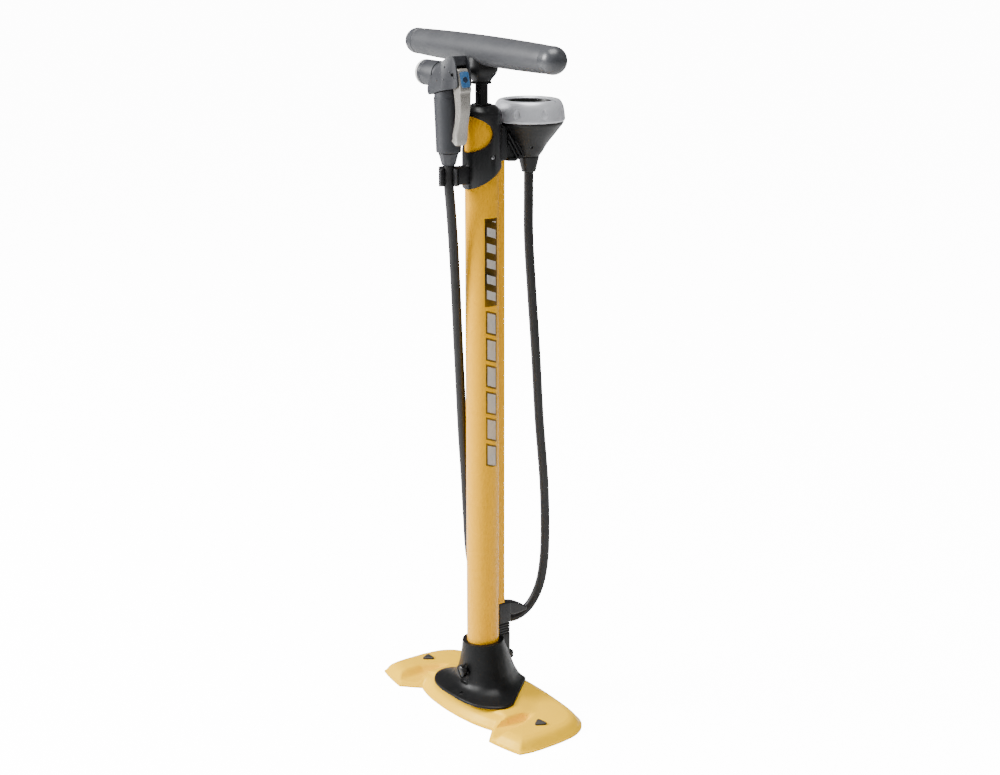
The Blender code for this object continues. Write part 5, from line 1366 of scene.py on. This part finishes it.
    def needle(self) -> None:
        """The red needle, its hub and the pinion shaft below the dial."""
        z = self.dial_z
        profile = [(0.0, z - 0.0106), (0.0008, z - 0.0106), (0.0008, z - 0.0080), (0.0012, z - 0.0080),
                   (0.0012, z - 0.0066), (0.0008, z - 0.0066), (0.0008, z + 0.0016),
                   (0.0028, z + 0.0016), (0.0028, z + 0.0027), (0.0, z + 0.0029)]
        bm = spun(eased(profile, 0.0003, 3), 48)
        pointer = slab([(-0.0070, -0.0011), (0.0010, -0.0011), (0.0200, -0.00022),
                        (0.0205, 0.0), (0.0200, 0.00022), (0.0010, 0.0011), (-0.0070, 0.0011)],
                       z + 0.0019, z + 0.0026)
        soften(pointer, 0.0001, 2)
        pointer.transform(Matrix.Rotation(math.radians(-135.0), 4, "Z"))
        bm = combined(bm, [pointer], "UNION")
        stands_for("red_needle", laid(bm, at=GAUGE_AXIS), Palette.RED_INK, "gauge_needle")


# ------------------------------------------------------------------ handle and rod
@dataclass
class Handle:
    """The T handle, its hub, the rod and the bush it runs in."""

    height: float = 0.6495
    mid_r: float = 0.0138
    end_r: float = 0.0124
    grip_half: float = 0.1155
    cap_length: float = 0.0187
    turn: float = math.radians(-5.8)
    rod_r: float = 0.0060
    rod_bore: float = 0.0048
    rod_low: float = 0.0643
    rod_top: float = 0.6445
    hub_low: float = 0.6190
    crown: float = 0.5995

    def build(self) -> None:
        """Build the rod, the bush, the hub, the grip and its end caps."""
        self.rod()
        self.bush()
        self.grip()
        self.end_caps()
        self.hub()

    def radius_at(self, x: float) -> float:
        """The grip's radius: fullest in the middle."""
        share = min(abs(x) / self.grip_half, 1.0)
        return self.end_r + (self.mid_r - self.end_r) * (1.0 - share ** 2)

    def grip_shape(self, margin: float = 0.0) -> bmesh.types.BMesh:
        """The crowned grip, a margin larger all round."""
        steps = 40
        profile: list[Point2] = [(0.0, -self.grip_half - margin)]
        for i in range(steps + 1):
            x = -self.grip_half + 2.0 * self.grip_half * i / steps
            inset = 0.0004 if i in (0, steps) else 0.0
            profile.append((self.radius_at(x) + margin - inset, x))
        profile.append((0.0, self.grip_half + margin))
        return laid(spun(profile, 96), Axis.X, (0, 0, self.height), self.turn)

    def grip(self) -> None:
        """The soft grip with its rod socket."""
        bm = combined(self.grip_shape(), [bar(self.rod_r + GAP, 0.5, self.rod_top + GAP, 64)])
        stands_for("crowned_grip", bm, Palette.GRIP, "handle_grip", 40.0)

    def end_caps(self) -> None:
        """The round-ended caps, set off from the grip by a fine seam."""
        start = self.grip_half + GAP
        straight = self.cap_length - self.end_r
        for side, node, name in ((0.0, "end_cap_right", "right_grip_cap"),
                                 (math.pi, "end_cap_left", "left_grip_cap")):
            profile: list[Point2] = [(0.0, start), (self.end_r - 0.0005, start),
                                     (self.end_r, start + 0.0005), (self.end_r, start + straight)]
            for i in range(1, 17):
                angle = math.radians(90.0 * i / 16)
                profile.append((max(self.end_r * math.cos(angle), 0.0),
                                start + straight + self.end_r * math.sin(angle)))
            bm = laid(spun(profile, 96), Axis.X, (0, 0, self.height), self.turn + side)
            stands_for(name, bm, Palette.END_CAP, node, 40.0)

    def hub(self) -> None:
        """The funnel below the grip, flaring along the handle, with a small foot flange."""
        rough = [(0.0087, self.hub_low + 0.0026), (0.0094, self.hub_low + 0.0036),
                 (0.0110, self.hub_low + 0.0056), (0.0130, self.hub_low + 0.0082),
                 (0.0147, self.hub_low + 0.0112), (0.0153, self.hub_low + 0.0140),
                 (0.0150, self.hub_low + 0.0175), (0.0140, self.hub_low + 0.0245)]
        profile = [(self.rod_r + GAP, self.hub_low), (0.0088, self.hub_low),
                   (0.0092, self.hub_low + 0.0004), (0.0092, self.hub_low + 0.0016),
                   *[tuple(p) for p in smooth_path(rough, 4)],
                   (self.rod_r + GAP, self.hub_low + 0.0245)]
        bm = combined(spun(profile, 112, True), [self.grip_shape(GAP)])
        # Painted shade: the hub takes the near-black charcoal finish so that it reads as sitting in the
        # shadow cast by the grip above it.
        stands_for("handle_funnel", bm, Palette.CHARCOAL, "handle_hub", 35.0)

    def rod(self) -> None:
        """The black rod, open down its middle."""
        bm = spun(eased([(self.rod_bore, self.rod_low), (self.rod_r, self.rod_low),
                         (self.rod_r, self.rod_top), (self.rod_bore, self.rod_top)], 0.0003, 3,
                        True), 72, True)
        stands_for("black_rod", bm, Palette.ROD, "rod", 40.0)

    def bush(self) -> None:
        """The rod's bush, whose lip shows on the crown."""
        low, crown = 0.5911, self.crown
        profile = [(0.0064, low), (0.0086, low), (0.0086, crown + GAP), (0.0095, crown + GAP),
                   (0.0092, crown + 0.0012), (0.0080, crown + 0.0014), (0.0064, crown + 0.0010)]
        stands_for("rod_bush_lip", spun(eased(profile, 0.0003, 3, True), 72, True), Palette.CHARCOAL,
                   "rod_bush")


# ------------------------------------------------------------------ pump head
@dataclass
class PumpHead:
    """The pump head: grip, fan-shaped housing, nozzle, strain relief and lever."""

    y: float = -0.0375
    grip_low: float = 0.5590
    grip_top: float = 0.6100
    grip_r: float = 0.0133
    taper_r: float = 0.0116
    nozzle_z: float = 0.6290
    nozzle_r: float = 0.0118
    nozzle_end: float = -0.0335
    collar_root: float = -0.0105
    nozzle_bore: float = 0.0058
    cap_t: float = 0.0052
    relief_low: float = 0.5470
    cheek_half: float = 0.0135
    lever_x: float = 0.0190
    lever_z: float = 0.6310
    lever_half: float = 0.0062
    plunger_r: float = 0.0034
    taper_x: float = 0.0130
    bridge_x: float = 0.0186
    bridge_z: float = 0.6390
    fan: list[Point2] = field(default_factory=lambda: [
        (-0.0127, 0.6106), (0.0020, 0.6150), (0.0180, 0.6185), (0.0262, 0.6205),
        (0.0225, 0.6420), (0.0190, 0.6478), (0.0150, 0.6468), (0.0115, 0.6443),
        (0.0040, 0.6395), (-0.0031, 0.6335), (-0.0095, 0.6262), (-0.0145, 0.6170)])
    dot_r: float = 0.0009
    dot_sink: float = 0.0003
    dots: list[Point2] = field(default_factory=lambda: [
        (0.0115, 0.6377), (0.0060, 0.6316), (0.0159, 0.6334), (0.0010, 0.6249),
        (0.0104, 0.6264), (0.0200, 0.6285)])
    lever_front: list[Point2] = field(default_factory=lambda: [
        (0.0236, 0.6350), (0.0250, 0.6300), (0.0268, 0.6240), (0.0282, 0.6190),
        (0.0283, 0.6168), (0.0276, 0.6148), (0.0276, 0.6080), (0.0270, 0.5990),
        (0.0246, 0.5880), (0.0226, 0.5785), (0.0216, 0.5712)])
    lever_back: list[Point2] = field(default_factory=lambda: [
        (0.0150, 0.5692), (0.0146, 0.5780), (0.0176, 0.5900), (0.0184, 0.6000),
        (0.0172, 0.6120), (0.0152, 0.6220), (0.0148, 0.6300), (0.0158, 0.6346)])

    def build(self) -> None:
        """Build the head from the hose up."""
        self.relief()
        self.body()
        self.housing()
        self.grip_dots()
        self.nozzle()
        self.lever()
        self.inlay()

    def relief(self) -> None:
        """The faceted strain relief, with a ledge at its top."""
        high = self.grip_low - GAP
        profile = [(0.0033, self.relief_low), (0.0062, self.relief_low), (0.0068, self.relief_low + 0.0008),
                   (0.0092, high - 0.0022), (0.0098, high - 0.0014), (0.0098, high), (0.0033, high)]
        bm = spun(profile, 8, True)
        soften(bm, 0.0009, 3, 25.0, lambda e: min(Vector(v.co.xy).length for v in e.verts) > 0.005)
        stands_for("faceted_strain_relief", laid(bm, at=(0, self.y, 0), heading=0.39),
                   Palette.HEAD, "strain_relief", 40.0)

    def body(self) -> None:
        """The round grip of the head, with the barrel for the nozzle joined across its top."""
        neck = self.nozzle_r - 0.0023
        rough = [(self.taper_r, self.grip_low + 0.0012), (0.0119, self.grip_low + 0.0120),
                 (0.0124, self.grip_low + 0.0250), (0.0130, self.grip_low + 0.0400),
                 (self.grip_r, self.grip_top - 0.0030), (self.grip_r, self.grip_top - 0.0012)]
        profile = [(0.0, self.grip_low), (self.taper_r - 0.0008, self.grip_low),
                   (self.taper_r - 0.0001, self.grip_low + 0.0006),
                   *[tuple(p) for p in smooth_path(rough, 4)],
                   (self.grip_r - 0.0012, self.grip_top), (neck, self.grip_top),
                   (neck, self.nozzle_z), (0.0, self.nozzle_z)]
        bm = laid(spun(profile, 96), at=(0, self.y, 0))
        wedge = bar(self.grip_r - 0.0004, self.grip_top - 0.0035, self.grip_top + 0.003, 90)
        for vert in wedge.verts:
            if vert.co.z > self.grip_top:
                vert.co.z = self.fan[0][1] + (vert.co.x - self.fan[0][0]) * 0.2573 - 0.00045
        bm = combined(bm, [laid(wedge, at=(0, self.y, 0))], "UNION")
        cross = laid(bar(self.nozzle_r - 0.0008, self.collar_root + GAP, 0.0098, 72), Axis.X,
                     (0, self.y, self.nozzle_z))
        bm = combined(bm, [cross], "UNION")
        bm = combined(bm, [
            laid(bar(self.plunger_r + 0.0004, -0.03, 0.03, 40), Axis.X, (0, self.y, self.nozzle_z)),
            laid(bar(0.0033, 0.5, 0.5673, 32), at=(0, self.y, 0)),
            laid(bar(0.0015, 0.5, self.nozzle_z, 24), at=(0, self.y, 0))])
        stands_for("head_grip", bm, Palette.HEAD, "head_body", 40.0)

    def half_at(self, x: float) -> float:
        """Half the housing's width, which closes in on the lever towards +X."""
        narrow = self.lever_half + 0.0018
        start, end = self.taper_x - 0.0060, self.bridge_x + 0.0040
        share = min(max((x - start) / (end - start), 0.0), 1.0)
        return self.cheek_half + (narrow - self.cheek_half) * share * share * (3.0 - 2.0 * share)

    def housing(self) -> None:
        """The fan-shaped housing with rounded edges and the lever's slot."""
        outline = eased(self.fan, 0.0040, 5, True)
        bm = upright_slab(outline, self.y, self.cheek_half)
        for x in (0.0010 * step for step in range(0, 23)):
            bmesh.ops.bisect_plane(bm, geom=[*bm.verts, *bm.edges, *bm.faces], dist=1e-6,
                                   plane_co=(x, 0.0, 0.0), plane_no=(1.0, 0.0, 0.0))
        for vert in bm.verts:
            vert.co.y = self.y + math.copysign(self.half_at(vert.co.x), vert.co.y - self.y)
        soften(bm, 0.0014, 4, 50.0)
        wall = 0.0102
        slot = self.lever_half + 0.0004
        cutters = [
            laid(bar(self.nozzle_r + GAP, -0.05, wall, 96), Axis.X, (0, self.y, self.nozzle_z)),
            laid(bar(self.nozzle_r - 0.0020, 0.58, self.nozzle_z, 72), at=(0, self.y, 0)),
            upright_slab([(wall + 0.0020, 0.60), (0.05, 0.60), (0.05, 0.66), (self.bridge_x, 0.66),
                          (self.bridge_x, self.bridge_z), (wall + 0.0020, self.bridge_z)],
                         self.y, slot),
            laid(bar(self.plunger_r + 0.0004, 0.0, 0.02, 40), Axis.X, (0, self.y, self.nozzle_z)),
            laid(bar(0.0017, -0.05, 0.05, 32), Axis.Y, (self.lever_x, self.y, self.lever_z))]
        bm = combined(bm, cutters)
        soften(bm, 0.0003, 2, 45.0, lambda e: all(abs(v.co.y - self.y) < 0.0076 for v in e.verts))
        stands_for("fan_housing", bm, Palette.HEAD, "head_housing", 35.0)

    def grip_dots(self) -> None:
        """The raised dots on both sides of the housing."""
        dots = bmesh.new()
        for x, z in self.dots:
            for side in (-1.0, 1.0):
                dot = bmesh.new()
                bmesh.ops.create_icosphere(dot, subdivisions=3, radius=self.dot_r)
                out = side * (self.half_at(x) - self.dot_sink)
                dot.transform(Matrix.Translation((x, self.y + out, z)))
                merge(dots, dot)
        finished("grip_dots", dots, Palette.HEAD, ["head_housing"])

    def nozzle(self) -> None:
        """The collar with shallow grooves, the milky end ring and the seal inside."""
        centre = (0.0, self.y, self.nozzle_z)
        end, root, r = self.nozzle_end, self.collar_root, self.nozzle_r
        outside = [(r - 0.0003, end), (r, end + 0.0003), (r, end + 0.0030), (r - 0.0004, end + 0.0034),
                   (r - 0.0004, end + 0.0040), (r, end + 0.0044), (r, root)]
        collar = [(self.nozzle_bore, end), *outside, (self.nozzle_bore, root)]
        bm = spun(eased(collar, 0.0003, 3, True), 96, True)
        stands_for("nozzle_screw_collar", laid(bm, Axis.X, centre), Palette.HEAD, "nozzle_collar")
        tip = end - self.cap_t
        ring = [(0.0046, tip + 0.0004), (0.0060, tip), (r - 0.0022, tip), (r - 0.0004, tip + 0.0016),
                (r, tip + 0.0030), (r, end - GAP), (0.0046, end - GAP)]
        bm = spun(eased(ring, 0.0008, 4, True), 96, True)
        flutes = []
        for i in range(24):
            flute = laid(bar(0.00045, tip + 0.0020, end + 0.001, 12), at=(r + 0.00015, 0, 0))
            flute.transform(Matrix.Rotation(FULL_TURN * i / 24, 4, "Z"))
            flutes.append(flute)
        bm = combined(bm, flutes)
        stands_for("milky_end_ring", laid(bm, Axis.X, centre), Palette.MILKY, "nozzle_end_ring")

    def width_at(self, z: float) -> float:
        """Half the lever's width at a height."""
        return float(np.interp(z, [0.566, 0.571, 0.576, 0.584, 0.600, 0.617, 0.632, 0.643],
                               [0.0050, 0.0064, 0.0066, 0.0058, 0.0060, 0.0066, 0.0064, 0.0058]))

    def lever(self) -> None:
        """The cast lever: waisted, bulbed at its tip, hollow at the back."""
        front = [tuple(p) for p in smooth_path(self.lever_front, 5)]
        tip = [tuple(p) for p in smooth_path([self.lever_front[-1], (0.0206, 0.5680),
                                              (0.0182, 0.5666), (0.0160, 0.5674),
                                              self.lever_back[0]], 4)][1:-1]
        back = [tuple(p) for p in smooth_path(self.lever_back, 4)]
        crest = [(0.0178, 0.6362), (0.0215, 0.6364)]
        bm = upright_slab(front + tip + back + crest, self.y, 1.0)
        for vert in bm.verts:
            half = self.width_at(vert.co.z) * 0.94
            vert.co.y = self.y + math.copysign(half, vert.co.y - self.y)
        heal(bm)
        soften(bm, 0.0011, 4, 50.0)
        hollow_line = [(0.0120, 0.6250), (0.0215, 0.6250), (0.0240, 0.6200), (0.0252, 0.6100),
                       (0.0252, 0.5980), (0.0225, 0.5860), (0.0120, 0.5860)]
        hollow = upright_slab(eased(hollow_line, 0.002, 3, True), self.y, 0.0042)
        pin = laid(bar(0.0016, -0.05, 0.05, 32), Axis.Y, (self.lever_x, self.y, self.lever_z))
        bm = combined(bm, [hollow, pin])
        soften(bm, 0.00025, 2, 50.0)
        stands_for("cast_lever", bm, Palette.LEVER, "lever", 40.0)

    def inlay(self) -> None:
        """The blue enamel badge on the lever, blank but for a dark disc."""
        top, low = Vector((0.0243, 0.6338)), Vector((0.0279, 0.6200))
        along = (low - top).normalized()
        facing = math.atan2(along.x, -along.y)
        middle = (top + low) / 2
        place = Matrix.Translation((middle.x + 0.00030, self.y, middle.y)) @ Matrix.Rotation(
            math.radians(90.0) - facing, 4, "Y")
        outline = eased([(-0.0072, -0.0046), (0.0072, -0.0046), (0.0072, 0.0046), (-0.0072, 0.0046)],
                        0.0019, 6, True)
        bm = slab(outline, -0.0006, 0.0005)
        soften(bm, 0.00025, 3)
        bm.transform(place)
        stands_for("blue_badge", bm, Palette.BLUE, "lever_inlay")
        disc = spun(eased([(0.0, 0.0003), (0.0027, 0.0003), (0.0027, 0.0007), (0.0, 0.00075)],
                          0.0002, 3), 40)
        disc.transform(place)
        finished("badge_dark_disc", disc, Palette.DARK_BLUE, ["lever_inlay"])


# ------------------------------------------------------------------ hose
@dataclass
class Hose:
    """The hose, in one piece from the gauge stem down under the hook and up to the head."""

    radius: float = 0.0047
    per_span: int = 10
    route: list[Point3] = field(default_factory=lambda: [
        (0.0000, 0.0550, 0.5324), (0.0000, 0.0550, 0.5080), (0.0000, 0.0553, 0.4700),
        (0.0000, 0.0590, 0.4200), (0.0000, 0.0645, 0.3550), (0.0000, 0.0695, 0.2850),
        (-0.0002, 0.0760, 0.2200), (-0.0008, 0.0784, 0.1700), (-0.0018, 0.0778, 0.1330),
        (-0.0038, 0.0728, 0.1050), (-0.0072, 0.0615, 0.0850), (-0.0118, 0.0460, 0.0765),
        (-0.0172, 0.0318, 0.0805), (-0.0222, 0.0205, 0.0945), (-0.0258, 0.0110, 0.1170),
        (-0.0272, 0.0040, 0.1500), (-0.0265, 0.0005, 0.1900), (-0.0243, -0.0035, 0.2350),
        (-0.0215, -0.0085, 0.2800), (-0.0178, -0.0135, 0.3300), (-0.0135, -0.0190, 0.3800),
        (-0.0088, -0.0245, 0.4300), (-0.0045, -0.0300, 0.4750), (-0.0012, -0.0348, 0.5080),
        (0.0000, -0.0375, 0.5280), (0.0000, -0.0375, 0.5467)])

    def build(self) -> None:
        """Lay the hose as one curve."""
        curve = bpy.data.curves.new("air_hose", "CURVE")
        curve.dimensions = "3D"
        curve.bevel_depth = self.radius
        curve.bevel_resolution = 10
        curve.use_fill_caps = True
        points = smooth_path(self.route, self.per_span)
        spline = curve.splines.new("POLY")
        spline.points.add(len(points) - 1)
        for target, point in zip(spline.points, points):
            target.co = (*point, 1.0)
        spline.use_smooth = True
        made = bpy.data.objects.new("air_hose", curve)
        bpy.context.collection.objects.link(made)
        curve.materials.append(Palette.HOSE.material())
        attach(made, PLACEMENT.body["hose"])
        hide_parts("hose")


# ------------------------------------------------------------------ pieces kept from the CAD
@dataclass
class KeptNodes:
    """CAD nodes that are shown as they are, inside the pump, each with its finish."""

    finishes: dict[str, Finish] = field(default_factory=lambda: {
        "centre_foot": Palette.RUBBER, "barrel_plug": Palette.BLACK, "plug_o_ring": Palette.RUBBER,
        "check_valve": Palette.RUBBER, "piston": Palette.BLACK, "piston_seal": Palette.RUBBER,
        "piston_bolt": Palette.STEEL, "top_out_bumper": Palette.RUBBER, "hose_barb": Palette.BRASS,
        "head_barb": Palette.BRASS, "movement_plate": Palette.BRASS, "bourdon_tube": Palette.BRASS,
        "sector_gear": Palette.BRASS, "plunger": Palette.BRASS, "valve_seal": Palette.RUBBER,
        "lever_pin": Palette.STEEL})

    def build(self) -> None:
        """Give each kept node its finish."""
        for node, finish in self.finishes.items():
            kept = frame["nodes"][node]
            kept.data.materials.clear()
            kept.data.materials.append(finish.material())
            log.info("%s kept from the CAD, %s", node, finish.name)


# ------------------------------------------------------------------ stage and camera
@dataclass
class Studio:
    """The pale sweep, the soft lights and the camera."""

    place: Point3 = (1.3488, -0.9806, 0.7931)
    pitch: float = 74.45
    heading: float = 53.40
    lens: float = 64.77
    floor_glow: float = 13.0
    sky: float = 0.20

    def build(self) -> None:
        """Build the stage, the lights and the camera."""
        self.sweep()
        self.lights()
        self.camera()

    def camera(self) -> None:
        """The camera, at standing height to the pump's front right."""
        data = bpy.data.cameras.new("camera")
        data.lens = self.lens
        data.sensor_width = 36.0
        data.clip_start = 0.01
        data.clip_end = 100.0
        made = bpy.data.objects.new("camera", data)
        made.location = self.place
        made.rotation_euler = (math.radians(self.pitch), 0.0, math.radians(self.heading))
        bpy.context.collection.objects.link(made)
        bpy.context.scene.camera = made

    def sweep(self) -> None:
        """A pale floor with nothing behind it but the pale world."""
        bm = bmesh.new()
        bmesh.ops.create_grid(bm, x_segments=2, y_segments=2, size=14.0)
        mesh = bpy.data.meshes.new("floor")
        bm.to_mesh(mesh)
        bm.free()
        floor = bpy.data.objects.new("floor", mesh)
        bpy.context.collection.objects.link(floor)
        floor_finish = bpy.data.materials.new("pale_floor")
        floor_finish.use_nodes = True
        shader = floor_finish.node_tree.nodes["Principled BSDF"]
        shader.inputs["Base Color"].default_value = (0.93, 0.93, 0.935, 1.0)
        shader.inputs["Roughness"].default_value = 0.65
        shader.inputs["Specular IOR Level"].default_value = 0.2
        shader.inputs["Emission Color"].default_value = (1.0, 1.0, 1.0, 1.0)
        wires = Wiring(floor_finish.node_tree)
        seen = wires.node("ShaderNodeLightPath").outputs["Is Camera Ray"]
        wires.join(wires.reach(seen, 0.0, self.floor_glow), shader.inputs["Emission Strength"])
        mesh.materials.append(floor_finish)
        world = bpy.data.worlds.new("studio")
        world.use_nodes = True
        background = world.node_tree.nodes["Background"]
        background.inputs["Color"].default_value = (1.0, 1.0, 1.0, 1.0)
        background.inputs["Strength"].default_value = self.sky
        bpy.context.scene.world = world

    def lights(self) -> None:
        """Two wide soft boxes and a weaker one from the far side."""
        self.soft_box("left_box", (-1.2, -2.1, 1.6), (0.0, 0.0, 0.30), 1.2, 185.0)
        self.soft_box("top_box", (0.3, -0.2, 2.7), (0.0, 0.0, 0.2), 1.5, 85.0)
        self.soft_box("right_box", (1.9, 1.2, 1.6), (0.0, 0.0, 0.35), 0.8, 2.0)

    @staticmethod
    def soft_box(name: str, place: Point3, target: Point3, size: float, power: float) -> None:
        """Add one square area light aimed at a point."""
        data = bpy.data.lights.new(name, "AREA")
        data.shape = "SQUARE"
        data.size = size
        data.energy = power
        made = bpy.data.objects.new(name, data)
        made.location = place
        made.rotation_euler = (Vector(target) - Vector(place)).to_track_quat("-Z", "Y").to_euler()
        bpy.context.collection.objects.link(made)


def main() -> None:
    """Build every sub-assembly in order."""
    logging.basicConfig(level=logging.INFO, format="%(name)s: %(message)s")
    Studio().build()
    Hose().build()
    Foot().build()
    Barrel().build()
    TopCap().build()
    Gauge().build()
    Handle().build()
    PumpHead().build()
    KeptNodes().build()


if __name__ == "__main__":
    main()
